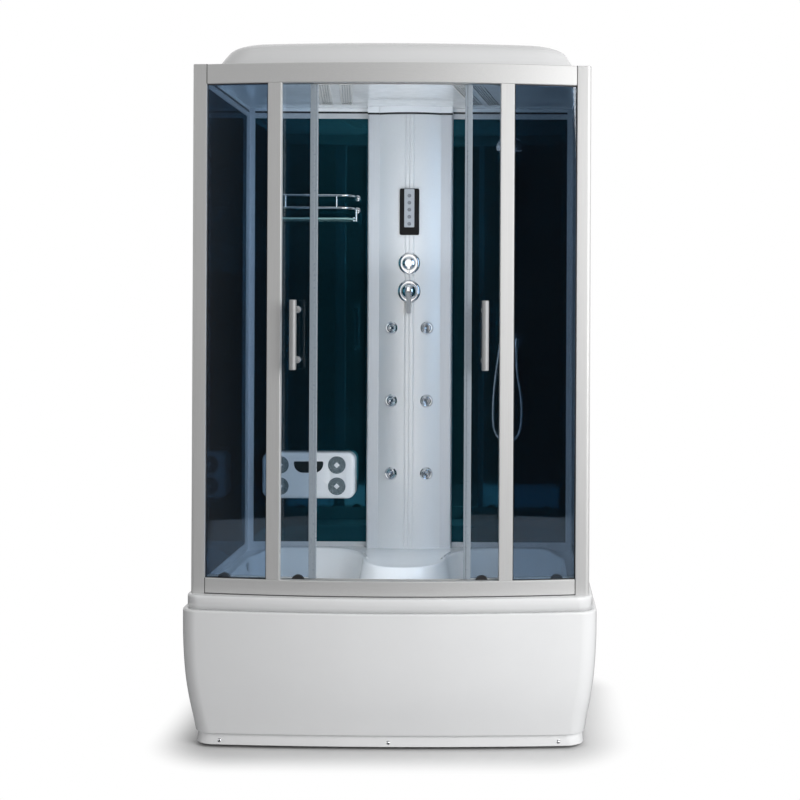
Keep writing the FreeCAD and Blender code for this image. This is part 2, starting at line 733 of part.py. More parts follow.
HANDLE_BOLTS = 157.0
STANDOFF_RADIUS = 7.0
ROSETTE_RADIUS = 11.0
ROSETTE_HEIGHT = 4.0
BOLT_RADIUS = 4.0

DOOR_LEADING_X = 0.398625 * RAIL_HALF
DOOR_TRAILING_X = WALL_INNER_X - DOOR_STOP_GAP
CARRIER_X = (DOOR_LEADING_X + CARRIER_INSETS[0], DOOR_TRAILING_X - CARRIER_INSETS[1])
HANDLE_X = DOOR_LEADING_X + HANDLE_INSET
PANE_BOTTOM = OPENING_BOTTOM + DOOR_GLASS_GAP
PANE_TOP = OPENING_TOP + DOOR_GLASS_ABOVE
TRACK_FLOOR = OPENING_BOTTOM - TRACK_DEPTH
WHEEL_Z = TRACK_FLOOR + FIT + WHEEL_RADIUS
WHEEL_DEPTH = DOOR_DEPTH + TILE / 2
DOOR_BACK = DOOR_DEPTH + TILE


def handle_places():
    """The handle's two bolt centres on the right door: angle round the bow and height."""
    angle = bow_angle(HANDLE_X)
    return [(angle, HANDLE_Z - HANDLE_BOLTS / 2), (angle, HANDLE_Z + HANDLE_BOLTS / 2)]


def towards_centre(angle):
    """The level direction from the bow to its centre."""
    return Vector(-math.sin(angle), math.cos(angle), 0)


def door_glass_right():
    """The curved door pane with two bolt holes."""
    pane = bowed_bar(
        DOOR_DEPTH,
        DOOR_BACK,
        PANE_BOTTOM,
        PANE_TOP,
        DOOR_LEADING_X + MAGNET_WIDTH + EDGE_WIDTH - EDGE_GRIP,
        DOOR_TRAILING_X - TRAIL_LIP,
    )
    for angle, z in handle_places():
        start = on_bow(DOOR_DEPTH - OVERRUN, angle, z)
        pane = pane.cut(disc(BOLT_RADIUS + FIT, TILE + 2 * OVERRUN, start, towards_centre(angle)))
    return pane


def door_edge_right():
    """The leading profile with its magnet strip, and the seal on the trailing edge."""
    low, high = OPENING_BOTTOM + EDGE_GAP, OPENING_TOP - EDGE_GAP
    meet = DOOR_LEADING_X + MAGNET_WIDTH
    slot = bowed_bar(
        DOOR_DEPTH, DOOR_BACK, low - OVERRUN, high + OVERRUN, meet + EDGE_WIDTH - EDGE_GRIP, meet + EDGE_WIDTH + OVERRUN
    )
    profile = bowed_bar(EDGE_FRONT, EDGE_BACK, low, high, meet, meet + EDGE_WIDTH).cut(slot)
    magnet = bowed_bar(EDGE_FRONT + TRAIL_LIP, EDGE_BACK - TRAIL_LIP, low, high, DOOR_LEADING_X, meet)
    seal = bowed_bar(
        DOOR_DEPTH - TRAIL_LIP, DOOR_BACK + TRAIL_LIP, low, high, DOOR_TRAILING_X - TRAIL_SEAL, DOOR_TRAILING_X
    )
    seal_slot = bowed_bar(
        DOOR_DEPTH, DOOR_BACK, low - OVERRUN, high + OVERRUN, DOOR_TRAILING_X - TRAIL_SEAL - OVERRUN,
        DOOR_TRAILING_X - TRAIL_LIP,
    )
    return Part.makeCompound([profile, magnet, seal.cut(seal_slot)])


def door_handle_right():
    """A round bar on two standoffs, bolted through the pane with a cap inside."""
    angle = bow_angle(HANDLE_X)
    bar_foot = on_bow(DOOR_DEPTH - HANDLE_REACH, angle, HANDLE_Z - HANDLE_LENGTH / 2)
    pieces = disc(HANDLE_RADIUS, HANDLE_LENGTH, bar_foot, UP)
    inward = towards_centre(angle)
    for _, z in handle_places():
        outside = on_bow(DOOR_DEPTH - HANDLE_REACH, angle, z)
        pieces = pieces.fuse(disc(STANDOFF_RADIUS, HANDLE_REACH, outside, inward))
        rosette = on_bow(DOOR_DEPTH - ROSETTE_HEIGHT, angle, z)
        pieces = pieces.fuse(disc(ROSETTE_RADIUS, ROSETTE_HEIGHT, rosette, inward))
        pieces = pieces.fuse(disc(BOLT_RADIUS, HANDLE_REACH + TILE, outside, inward))
        pieces = pieces.fuse(disc(ROSETTE_RADIUS, ROSETTE_HEIGHT, on_bow(DOOR_BACK, angle, z), inward))
    return pieces


def carrier(x):
    """One bottom carrier: a round-topped fork that grips the pane and holds the wheel's axle."""
    half = CARRIER_WIDTH / 2
    low, high = TRACK_FLOOR + CARRIER_BASE, OPENING_BOTTOM + CARRIER_TOP
    body = bowed_bar(CARRIER_FRONT, CARRIER_BACK, low, high, x - half, x + half)
    angle = bow_angle(x)
    inward = towards_centre(angle)
    span = CARRIER_BACK - CARRIER_FRONT + 2 * OVERRUN
    hump = disc(half, span, on_bow(CARRIER_FRONT - OVERRUN, angle, high - half), inward)
    body = body.common(hump.fuse(box(-FRAME_HALF_WIDTH, FRAME_HALF_WIDTH, FRONT_Y, BACK_Y, 0, high - half)))
    grip = bowed_bar(DOOR_DEPTH, DOOR_BACK, PANE_BOTTOM, high + OVERRUN, x - CARRIER_WIDTH, x + CARRIER_WIDTH)
    pocket_start = on_bow(WHEEL_DEPTH - WHEEL_WIDTH / 2 - WHEEL_POCKET, angle, WHEEL_Z)
    pocket = disc(WHEEL_RADIUS + WHEEL_POCKET, WHEEL_WIDTH + 2 * WHEEL_POCKET, pocket_start, inward)
    axle = disc(AXLE_RADIUS, CARRIER_BACK - CARRIER_FRONT, on_bow(CARRIER_FRONT, angle, WHEEL_Z), inward)
    return body.cut(grip).cut(pocket).fuse(axle)


def shoe(x):
    """One top guide shoe on the pane's upper edge."""
    half = CARRIER_WIDTH / 2
    low = OPENING_TOP + EDGE_GAP
    body = bowed_bar(SHOE_FRONT, SHOE_BACK, low, low + SHOE_HEIGHT, x - half, x + half)
    slot = bowed_bar(DOOR_DEPTH, DOOR_BACK, low - OVERRUN, PANE_TOP, x - CARRIER_WIDTH, x + CARRIER_WIDTH)
    return body.cut(slot)


def door_carriers_right():
    """Two wheel carriers at the pane's foot and two guide shoes at its top."""
    return Part.makeCompound([carrier(x) for x in CARRIER_X] + [shoe(x) for x in CARRIER_X])


def door_wheel(x):
    """One grooved wheel, free on its carrier's axle."""
    angle = bow_angle(x)
    inward = towards_centre(angle)
    half = WHEEL_WIDTH / 2
    outline = [
        (AXLE_RADIUS + RUNNING, -half),
        (WHEEL_RADIUS, -half),
        (WHEEL_RADIUS - half / 3, 0),
        (WHEEL_RADIUS, half),
        (AXLE_RADIUS + RUNNING, half),
    ]
    return spun(outline, on_bow(WHEEL_DEPTH, angle, WHEEL_Z), inward)


# Walls, panes and trims


def wall_profiles():
    """Rear corner posts, top and bottom wall rails and the column's two trims, for both sides."""
    groove_low, groove_high = -FIT, TILE + FIT
    foot_top = RIM_HEIGHT + WALL_BOTTOM_RAIL
    head_bottom = WALL_TOP - WALL_TOP_RAIL
    side_groove = box(
        SIDE_PANE_X + groove_low,
        SIDE_PANE_X + groove_high,
        POST_BACK_Y - OVERRUN,
        CORNER_FRONT_Y + GROOVE_DEPTH,
        foot_top - GROOVE_DEPTH,
        head_bottom + GROOVE_DEPTH,
    )
    back_groove = box(
        TRIM_OUTER_X - GROOVE_DEPTH,
        CORNER_INNER_X + GROOVE_DEPTH,
        BACK_PANE_Y + groove_low,
        BACK_PANE_Y + groove_high,
        foot_top - GROOVE_DEPTH,
        head_bottom + GROOVE_DEPTH,
    )
    corner = prism(
        [
            (CORNER_INNER_X, BACK_INNER_Y),
            (WALL_INNER_X, BACK_INNER_Y),
            (WALL_INNER_X, CORNER_FRONT_Y),
            (FRAME_HALF_WIDTH, CORNER_FRONT_Y),
            (FRAME_HALF_WIDTH, BACK_Y),
            (CORNER_INNER_X, BACK_Y),
        ],
        RIM_HEIGHT,
        WALL_TOP,
    )
    sides = [
        box(WALL_INNER_X, FRAME_HALF_WIDTH, POST_BACK_Y, CORNER_FRONT_Y, z0, z1)
        for z0, z1 in ((RIM_HEIGHT, foot_top), (head_bottom, WALL_TOP))
    ]
    backs = [
        box(TRIM_OUTER_X, CORNER_INNER_X, BACK_INNER_Y, BACK_Y, z0, z1)
        for z0, z1 in ((RIM_HEIGHT, foot_top), (head_bottom, WALL_TOP))
    ]
    shadow = box(
        TRIM_OUTER_X - OVERRUN,
        CORNER_INNER_X + OVERRUN,
        BACK_INNER_Y - OVERRUN,
        BACK_INNER_Y + OVERRUN,
        WALL_TOP - SHADOW_GAP,
        WALL_TOP + OVERRUN,
    )
    backs[1] = backs[1].cut(shadow)
    right = [piece.cut(side_groove).cut(back_groove) for piece in [corner] + sides + backs]
    right.append(column_trim().cut(back_groove))
    return Part.makeCompound(right + [mirrored(piece) for piece in right])


def column_trim():
    """The upright trim at the right of the column, with a round front edge and a seat for the sheet."""
    front = BACK_Y - TRIM_DEPTH
    middle = TRIM_ROUND * (1 - math.sqrt(0.5))
    corners = [
        Vector(COLUMN_HALF, front, RIM_HEIGHT),
        Vector(TRIM_OUTER_X - TRIM_ROUND, front, RIM_HEIGHT),
        Vector(TRIM_OUTER_X - middle, front + middle, RIM_HEIGHT),
        Vector(TRIM_OUTER_X, front + TRIM_ROUND, RIM_HEIGHT),
        Vector(TRIM_OUTER_X, BACK_Y, RIM_HEIGHT),
        Vector(COLUMN_HALF, BACK_Y, RIM_HEIGHT),
    ]
    edges = [Part.LineSegment(corners[0], corners[1]), Part.Arc(corners[1], corners[2], corners[3])]
    edges += [Part.LineSegment(a, b) for a, b in zip(corners[3:], corners[4:] + corners[:1])]
    return Part.Face(Part.Wire([edge.toShape() for edge in edges])).extrude(UP * WALL_HEIGHT)


def side_glass_right():
    """The side pane, let into the post, the corner post and both wall rails."""
    edge = GROOVE_DEPTH - FIT
    return box(
        SIDE_PANE_X,
        SIDE_PANE_X + TILE,
        POST_BACK_Y - edge,
        CORNER_FRONT_Y + edge,
        RIM_HEIGHT + WALL_BOTTOM_RAIL - edge,
        WALL_TOP - WALL_TOP_RAIL + edge,
    )


def back_glass_right():
    """The back pane, let into the trim, the corner post and both wall rails."""
    edge = GROOVE_DEPTH - FIT
    return box(
        TRIM_OUTER_X - edge,
        CORNER_INNER_X + edge,
        BACK_PANE_Y,
        BACK_PANE_Y + TILE,
        RIM_HEIGHT + WALL_BOTTOM_RAIL - edge,
        WALL_TOP - WALL_TOP_RAIL + edge,
    )


# Control panel and keys
PANEL_WIDTH = 71.0
PANEL_HEIGHT = 170.0
PANEL_Z = 1732.0
PANEL_RISE = 10.0
PANEL_ROUND = 6.0
STRIP_WIDTH = 37.0
STRIP_HEIGHT = 140.0
STRIP_Z = 1745.0
STRIP_RISE = 1.5
BOX_WIDTH = 58.0
BOX_HEIGHT = 150.0
BOX_DEPTH = 34.0
KEY_COUNT = 5
KEYS_Z = 1739.0
KEY_SPACING = 25.7
KEY_RADIUS = 7.0
KEY_HEIGHT = 5.0
KEY_TRAVEL = 1.0
KEY_RISE = 1.8

PANEL_FRONT_Y = COLUMN_FRONT_Y - PANEL_RISE
STRIP_FRONT_Y = PANEL_FRONT_Y - STRIP_RISE

# Jets: x of the right column of jets, and the three rows
JET_X = 65.0
JET_ROWS = (1307.0, 1040.0, 773.0)
JET_RADIUS = 23.5
JET_RISE = 9.0
JET_BODY_RADIUS = 16.0
JET_BODY_LENGTH = 38.0
JET_BALL = 12.0
JET_FACE = 8.0
JET_BORE = 3.0
JET_SEAT = 1.0
JET_PIN = 1.5
JET_PIN_GRIP = 2.5
JET_SEAT_SHARES = ((0.8, -0.71), (1.0, -0.25), (1.0, 0.25), (0.825, 0.6), (0.95, 0.67))

# Mixer and diverter
DIVERTER_Z = 1543.0
MIXER_Z = 1441.0
DIVERTER_PLATE = 39.0
MIXER_PLATE = 41.0
PLATE_RISE = 7.0
STEM_RADIUS = 9.0
STEM_LENGTH = 26.0
KNOB_RADIUS = 25.0
KNOB_RISE = 26.0
POINTER_WIDTH = 7.0
POINTER_LENGTH = 35.0
CAP_RADIUS = 31.0
CAP_RISE = 34.0
LEVER_WIDTH = 15.0
LEVER_THICK = 9.0
LEVER_LENGTH = 81.0
LEVER_PIVOT_RISE = 20.0
LEVER_PIN = 2.5
LEVER_EYE = 6.5
VALVE_HOLE = 27.0
VALVE_RADIUS = 22.0
INLET_SPACING = 150.0
INLET_RADIUS = 10.5
INLET_BORE = 7.0
INLET_BRANCH = 13.0

PLATE_BACK_Y = COLUMN_FRONT_Y
PLATE_FRONT_Y = COLUMN_FRONT_Y - PLATE_RISE
VALVE_Y = (COLUMN_FRONT_Y + COLUMN_BULGE + BACK_Y) / 2


def column_point(x, z, rise=0.0):
    """The point on the column's face at x, rise millimetres before it."""
    angle = math.asin(x / COLUMN_RADIUS)
    radius = COLUMN_RADIUS + rise
    return Vector(radius * math.sin(angle), COLUMN_CENTRE.y - radius * math.cos(angle), z)


def column_outward(x):
    """The way the column's face looks at x."""
    angle = math.asin(x / COLUMN_RADIUS)
    return Vector(math.sin(angle), -math.cos(angle), 0)


def jet_places():
    """The six jets' centres on the column's face, from the top left one."""
    return [(side * JET_X, z) for z in JET_ROWS for side in (-1, 1)]


def control_column():
    """The bulged sheet with three grooves, and holes for what passes through it."""
    wide = disc(COLUMN_RADIUS, WALL_HEIGHT, COLUMN_CENTRE + UP * RIM_HEIGHT, UP)
    foot = COLUMN_CENTRE + UP * (RIM_HEIGHT - OVERRUN)
    inner = disc(COLUMN_RADIUS - COLUMN_SHEET, WALL_HEIGHT + 2 * OVERRUN, foot, UP)
    front, back = COLUMN_FRONT_Y - OVERRUN, COLUMN_FRONT_Y + COLUMN_BULGE
    window = box(-COLUMN_HALF, COLUMN_HALF, front, back, 0, WALL_TOP + OVERRUN)
    sheet = wide.cut(inner).common(window)
    half = COLUMN_GROOVE_WIDTH / 2
    for x in (-COLUMN_GROOVE_SPACING, 0, COLUMN_GROOVE_SPACING):
        face = column_point(x, 0).y
        groove = [
            (x - half, face - COLUMN_GROOVE_DEPTH),
            (x + half, face - COLUMN_GROOVE_DEPTH),
            (x + half / 2, face + COLUMN_GROOVE_DEPTH),
            (x - half / 2, face + COLUMN_GROOVE_DEPTH),
        ]
        sheet = sheet.cut(prism(groove, RIM_HEIGHT - OVERRUN, WALL_TOP + OVERRUN))
    half_box = BOX_WIDTH / 2 + FIT
    half_high = BOX_HEIGHT / 2 + FIT
    cuts = [box(-half_box, half_box, front, BACK_Y, PANEL_Z - half_high, PANEL_Z + half_high)]
    for z in (DIVERTER_Z, MIXER_Z):
        cuts.append(disc(VALVE_HOLE, 2 * COLUMN_BULGE, Vector(0, COLUMN_FRONT_Y - OVERRUN, z), INWARD))
    for x, z in jet_places():
        outward = column_outward(x)
        cuts.append(disc(JET_BODY_RADIUS + FIT, 2 * OVERRUN, column_point(x, z, -OVERRUN), outward))
    return sheet.cut(cuts)


def column_core():
    """The space behind the column's face, to fit the backs of plates to it."""
    return disc(COLUMN_RADIUS, WALL_HEIGHT, COLUMN_CENTRE + UP * RIM_HEIGHT, UP)


def key_places():
    """The keys' centres on the strip, from the top one."""
    top = KEYS_Z + KEY_SPACING * (KEY_COUNT - 1) / 2
    return [Vector(0, STRIP_FRONT_Y, top - KEY_SPACING * number) for number in range(KEY_COUNT)]


def control_panel():
    """A panel fitted to the column with a raised key strip, and its electronics box behind."""
    half, high = PANEL_WIDTH / 2, PANEL_HEIGHT / 2
    plate = box(-half, half, PANEL_FRONT_Y, COLUMN_FRONT_Y + COLUMN_BULGE / 2, PANEL_Z - high, PANEL_Z + high)
    upright = [e for e in plate.Edges if e.BoundBox.YLength > PANEL_RISE / 2 and e.BoundBox.ZLength < FIT]
    plate = plate.makeFillet(PANEL_ROUND, upright).cut(column_core())
    strip_half = STRIP_WIDTH / 2
    strip = box(
        -strip_half, strip_half, STRIP_FRONT_Y, PANEL_FRONT_Y, STRIP_Z - STRIP_HEIGHT / 2, STRIP_Z + STRIP_HEIGHT / 2
    )
    back = box(
        -BOX_WIDTH / 2,
        BOX_WIDTH / 2,
        PANEL_FRONT_Y + PANEL_RISE / 2,
        COLUMN_FRONT_Y + BOX_DEPTH,
        PANEL_Z - BOX_HEIGHT / 2,
        PANEL_Z + BOX_HEIGHT / 2,
    )
    panel = plate.fuse([strip, back])
    for place in key_places():
        depth = KEY_HEIGHT + KEY_TRAVEL - KEY_RISE + FIT
        panel = panel.cut(disc(KEY_RADIUS + RUNNING, depth + OVERRUN, place - INWARD * OVERRUN, INWARD))
    return panel


def key(number):
    """One round key, stored at its outer stop."""
    place = key_places()[number]
    outline = [
        (0, KEY_RISE),
        (KEY_RADIUS * 0.8, KEY_RISE),
        (KEY_RADIUS, KEY_RISE / 2),
        (KEY_RADIUS, KEY_RISE - KEY_HEIGHT),
        (0, KEY_RISE - KEY_HEIGHT),
    ]
    return spun(outline, place, -INWARD)


def escutcheon(radius, z):
    """A domed round plate on the column, with a hole for the stem."""
    outline = [
        (STEM_RADIUS + FIT, -COLUMN_BULGE),
        (radius, -COLUMN_BULGE),
        (radius, PLATE_RISE / 2),
        (radius * 0.93, PLATE_RISE * 0.85),
        (radius * 0.8, PLATE_RISE),
        (STEM_RADIUS + FIT, PLATE_RISE),
    ]
    return spun(outline, Vector(0, PLATE_BACK_Y, z), -INWARD).cut(column_core())


def mixer_valve():
    """Two escutcheons on the column and the brass body behind it, with its two supply inlets."""
    low, high = MIXER_Z - VALVE_RADIUS, DIVERTER_Z + VALVE_RADIUS
    body = disc(VALVE_RADIUS, high - low, Vector(0, VALVE_Y, low), UP)
    for z in (DIVERTER_Z, MIXER_Z):
        front = COLUMN_FRONT_Y
        neck = disc(VALVE_RADIUS, VALVE_Y - front, Vector(0, front, z), INWARD)
        bore = disc(STEM_RADIUS + RUNNING, VALVE_Y - front, Vector(0, front - OVERRUN, z), INWARD)
        body = body.fuse(neck).cut(bore)
    half = INLET_SPACING / 2
    body = body.fuse(disc(INLET_BRANCH, INLET_SPACING, Vector(-half, VALVE_Y, MIXER_Z), RIGHT).cut(
        disc(STEM_RADIUS + RUNNING, VALVE_Y - COLUMN_FRONT_Y, Vector(0, COLUMN_FRONT_Y - OVERRUN, MIXER_Z), INWARD)
    ))
    for x in (-half, half):
        stub = disc(INLET_RADIUS, BACK_Y - VALVE_Y, Vector(x, VALVE_Y, MIXER_Z), INWARD)
        bore = disc(INLET_BORE, BACK_Y - VALVE_Y, Vector(x, VALVE_Y + OVERRUN, MIXER_Z), INWARD)
        body = body.fuse(stub).cut(bore)
    plates = [escutcheon(DIVERTER_PLATE, DIVERTER_Z), escutcheon(MIXER_PLATE, MIXER_Z)]
    return Part.makeCompound(plates + [body.cut(plates)])


def diverter_knob():
    """A domed knob with a pointer, on a stem in the valve."""
    outline = [
        (0, KNOB_RISE),
        (KNOB_RADIUS * 0.55, KNOB_RISE * 0.97),
        (KNOB_RADIUS * 0.85, KNOB_RISE * 0.85),
        (KNOB_RADIUS, KNOB_RISE * 0.62),
        (KNOB_RADIUS, FIT),
        (STEM_RADIUS, FIT),
        (STEM_RADIUS, -STEM_LENGTH),
        (0, -STEM_LENGTH),
    ]
    start = Vector(0, PLATE_FRONT_Y, DIVERTER_Z)
    knob = spun(outline, start, -INWARD)
    half = POINTER_WIDTH / 2
    pointer = box(
        -half, half, PLATE_FRONT_Y - KNOB_RISE * 0.6, PLATE_FRONT_Y - FIT, DIVERTER_Z - POINTER_LENGTH, DIVERTER_Z
    )
    return knob.fuse(pointer)


def mixer_cap():
    """A domed cap with a slot for the lever and the lever's cross pin."""
    outline = [
        (0, CAP_RISE),
        (CAP_RADIUS * 0.45, CAP_RISE * 0.95),
        (CAP_RADIUS * 0.78, CAP_RISE * 0.76),
        (CAP_RADIUS * 0.95, CAP_RISE * 0.45),
        (CAP_RADIUS, FIT),
        (STEM_RADIUS, FIT),
        (STEM_RADIUS, -STEM_LENGTH),
        (0, -STEM_LENGTH),
    ]
    cap = spun(outline, Vector(0, PLATE_FRONT_Y, MIXER_Z), -INWARD)
    half = LEVER_WIDTH / 2 + FIT
    room = LEVER_EYE + FIT
    pivot_y = PLATE_FRONT_Y - LEVER_PIVOT_RISE
    eye = disc(room, 2 * half, Vector(-half, pivot_y, MIXER_Z), RIGHT)
    drop = box(-half, half, pivot_y - CAP_RISE, pivot_y + room, MIXER_Z - CAP_RADIUS - OVERRUN, MIXER_Z)
    pin = disc(LEVER_PIN, LEVER_WIDTH + 2 * LEVER_EYE, Vector(-half - LEVER_EYE, pivot_y, MIXER_Z), RIGHT)
    return cap.cut(eye).cut(drop).fuse(pin)


def mixer_lever():
    """A flat lever that hangs from the cap's pin."""
    half = LEVER_WIDTH / 2
    pivot = Vector(-half, PLATE_FRONT_Y - LEVER_PIVOT_RISE, MIXER_Z)
    eye = disc(LEVER_EYE, LEVER_WIDTH, pivot, RIGHT)
    front = pivot.y - LEVER_THICK / 2
    bar = box(-half, half, front, front + LEVER_THICK, MIXER_Z - LEVER_LENGTH, MIXER_Z)
    low = MIXER_Z - LEVER_LENGTH + FIT
    tip = [e for e in bar.Edges if e.BoundBox.YLength > LEVER_THICK / 2 and e.BoundBox.ZMax < low]
    bar = bar.makeFillet(LEVER_WIDTH / 3, tip)
    return eye.fuse(bar).cut(disc(LEVER_PIN + RUNNING, LEVER_WIDTH, pivot, RIGHT))


def jet_housing(x, z):
    """A round bezel with a ball seat and two upright pins, and its body through the column's sheet."""
    outline = [
        (0, -JET_BODY_LENGTH),
        (JET_BODY_RADIUS, -JET_BODY_LENGTH),
        (JET_BODY_RADIUS, 0),
        (JET_RADIUS, 0),
        (JET_RADIUS, JET_RISE / 3),
        (JET_RADIUS * 0.85, JET_RISE * 0.85),
        (JET_RADIUS * 0.72, JET_RISE),
        (0, JET_RISE),
    ]
    housing = spun(outline, column_point(x, z), column_outward(x))
    room = JET_BALL + RUNNING
    seat = [(room * radius, JET_SEAT + room * rise) for radius, rise in JET_SEAT_SHARES]
    back, front = -JET_BODY_LENGTH - OVERRUN, JET_RISE + OVERRUN
    cavity = [(0, back), (seat[0][0], back)] + seat + [(seat[-1][0], front), (0, front)]
    housing = housing.cut(spun(cavity, column_point(x, z), column_outward(x)))
    centre = column_point(x, z, JET_SEAT)
    length = 2 * JET_PIN_GRIP
    for way in (UP, -UP):
        housing = housing.fuse(disc(JET_PIN, length, centre + way * (room - JET_PIN_GRIP), way))
    return housing


def jet_housings():
    """The six fixed jet bodies."""
    return Part.makeCompound([jet_housing(x, z) for x, z in jet_places()])


def jet_nozzle(number):
    """One ball nozzle with a flat face and a bore, hung on the housing's two pins."""
    x, z = jet_places()[number]
    centre = column_point(x, z, JET_SEAT)
    outward = column_outward(x)
    ball = Part.makeSphere(JET_BALL, centre)
    front = disc(2 * JET_BALL, JET_BALL, centre + outward * JET_FACE, outward)
    rear = disc(2 * JET_BALL, JET_BALL, centre - outward * JET_FACE, -outward)
    bore = disc(JET_BORE, 4 * JET_BALL, centre - outward * (2 * JET_BALL), outward)
    socket = JET_BALL - JET_PIN_GRIP - FIT
    pin_holes = [disc(JET_PIN + RUNNING, JET_BALL, centre + way * socket, way) for way in (UP, -UP)]
    return ball.cut([front, rear, bore] + pin_holes)


# Shelf rack on the left back pane
SHELF_X = -BACK_PANE_X
SHELF_WIDTH = 0.834 * BACK_PANE_WIDTH
SHELF_REACH = 120.0
SHELF_CORNER = 45.0
RAIL_WIRE = 4.0
UPPER_RAIL_Z = 1786.0
LOWER_RAIL_Z = 1741.0
SHELF_GLASS_Z = 1700.0
SHELF_GLASS = 6.0
SHELF_INSET = 8.0
UPRIGHT_X = 0.2614 * SHELF_WIDTH
UPRIGHT_RADIUS = 3.0
ROSE_RADIUS = 11.0
ROSE_HEIGHT = 5.0
CLAMP_Y = 60.0
CLAMP_WIDTH = 16.0
CLAMP_DEPTH = 14.0


def rack_rail(z):
    """One bent rail from wall to wall round the shelf, with its two wall roses."""
    left, right = SHELF_X - SHELF_WIDTH / 2, SHELF_X + SHELF_WIDTH / 2
    front = BACK_PANE_Y - SHELF_REACH
    bend = SHELF_CORNER * (1 - math.sqrt(0.5))
    edges = [
        Part.LineSegment(Vector(left, BACK_PANE_Y, z), Vector(left, front + SHELF_CORNER, z)),
        Part.Arc(
            Vector(left, front + SHELF_CORNER, z),
            Vector(left + bend, front + bend, z),
            Vector(left + SHELF_CORNER, front, z),
        ),
        Part.LineSegment(Vector(left + SHELF_CORNER, front, z), Vector(right - SHELF_CORNER, front, z)),
        Part.Arc(
            Vector(right - SHELF_CORNER, front, z),
            Vector(right - bend, front + bend, z),
            Vector(right, front + SHELF_CORNER, z),
        ),
        Part.LineSegment(Vector(right, front + SHELF_CORNER, z), Vector(right, BACK_PANE_Y, z)),
    ]
    path = Part.Wire([edge.toShape() for edge in edges])
    ring = Part.Wire([Part.Circle(Vector(left, BACK_PANE_Y, z), INWARD, RAIL_WIRE).toShape()])
    rail = path.makePipeShell([ring], True, True)
    roses = [disc(ROSE_RADIUS, ROSE_HEIGHT, Vector(x, BACK_PANE_Y, z), -INWARD) for x in (left, right)]
    return rail.fuse(roses)


def shelf_rack():
    """Two rails, two uprights between them, and two clamps that carry the glass shelf."""
    front = BACK_PANE_Y - SHELF_REACH
    pieces = [rack_rail(UPPER_RAIL_Z)]
    for x in (SHELF_X - UPRIGHT_X, SHELF_X + UPRIGHT_X):
        pieces.append(disc(UPRIGHT_RADIUS, UPPER_RAIL_Z - LOWER_RAIL_Z, Vector(x, front, LOWER_RAIL_Z), UP))
    half = CLAMP_DEPTH / 2
    for side in (-1, 1):
        x = SHELF_X + side * SHELF_WIDTH / 2
        inner = x - side * CLAMP_WIDTH
        outer = x + side * RAIL_WIRE
        y = BACK_PANE_Y - CLAMP_Y
        block = box(min(inner, outer), max(inner, outer), y - half, y + half, SHELF_GLASS_Z - RAIL_WIRE, LOWER_RAIL_Z)
        slot = box(
            min(inner - side * OVERRUN, x - side * SHELF_INSET),
            max(inner - side * OVERRUN, x - side * SHELF_INSET),
            y - CLAMP_DEPTH,
            y + CLAMP_DEPTH,
            SHELF_GLASS_Z,
            SHELF_GLASS_Z + SHELF_GLASS,
        )
        relief = box(
            min(inner - side * OVERRUN, x - side * SHELF_INSET),
            max(inner - side * OVERRUN, x - side * SHELF_INSET),
            y - CLAMP_DEPTH,
            y + CLAMP_DEPTH,
            SHELF_GLASS_Z + SHELF_GLASS + RAIL_WIRE,
            LOWER_RAIL_Z + OVERRUN,
        )
        pieces.append(block.cut(slot).cut(relief))
    return rack_rail(LOWER_RAIL_Z).fuse(pieces)


def shelf_glass():
    """The glass shelf with round front corners, its back edge at the wall."""
    half = SHELF_WIDTH / 2 - SHELF_INSET
    front = BACK_PANE_Y - SHELF_REACH + SHELF_INSET
    top = SHELF_GLASS_Z + SHELF_GLASS
    plate = box(SHELF_X - half, SHELF_X + half, front, BACK_PANE_Y - FIT, SHELF_GLASS_Z, top)
    corners = [
        e for e in plate.Edges if e.BoundBox.ZLength > SHELF_GLASS / 2 and e.BoundBox.YMax < front + FIT
    ]
    return plate.makeFillet(SHELF_CORNER - SHELF_INSET, corners)


# Massage panel on the left back pane
MASSAGE_X = -BACK_PANE_X
MASSAGE_Z = 764.0
MASSAGE_WIDTH = 0.8057 * BACK_PANE_WIDTH
MASSAGE_HEIGHT = 170.0
MASSAGE_DEPTH = 55.0
MASSAGE_CORNER = 30.0
MASSAGE_EDGE = 12.0
DISC_X = 0.306 * MASSAGE_WIDTH
DISC_Z = 39.0
DISC_RADIUS = 32.0
DISC_SUNK = 3.0
DISC_RISE = 3.0
DISC_RIBS = 2
SLOT_WIDTH = 0.3176 * MASSAGE_WIDTH
SLOT_HEIGHT = 42.0
SLOT_Z = 31.0
SLOT_DEPTH = 38.0

MASSAGE_FRONT_Y = BACK_PANE_Y - MASSAGE_DEPTH


def disc_places():
    """The four discs' centres on the massage panel's face."""
    return [
        Vector(MASSAGE_X + side * DISC_X, MASSAGE_FRONT_Y, MASSAGE_Z + rise * DISC_Z)
        for side in (-1, 1)
        for rise in (-1, 1)
    ]


def slot_solid():
    """The slot: flat on top, with round lower corners."""
    half = SLOT_WIDTH / 2
    top = MASSAGE_Z + SLOT_Z + SLOT_HEIGHT / 2
    block = box(
        MASSAGE_X - half,
        MASSAGE_X + half,
        MASSAGE_FRONT_Y - OVERRUN,
        MASSAGE_FRONT_Y + SLOT_DEPTH,
        top - SLOT_HEIGHT,
        top,
    )
    floor = top - SLOT_HEIGHT + FIT
    low = [e for e in block.Edges if e.BoundBox.YLength > SLOT_DEPTH and e.BoundBox.ZMax < floor]
    block = block.makeFillet(SLOT_HEIGHT * 0.8, low)
    high = [e for e in block.Edges if e.BoundBox.YLength > SLOT_DEPTH and e.BoundBox.ZMin > top - FIT]
    return block.makeFillet(SLOT_HEIGHT * 0.12, high)


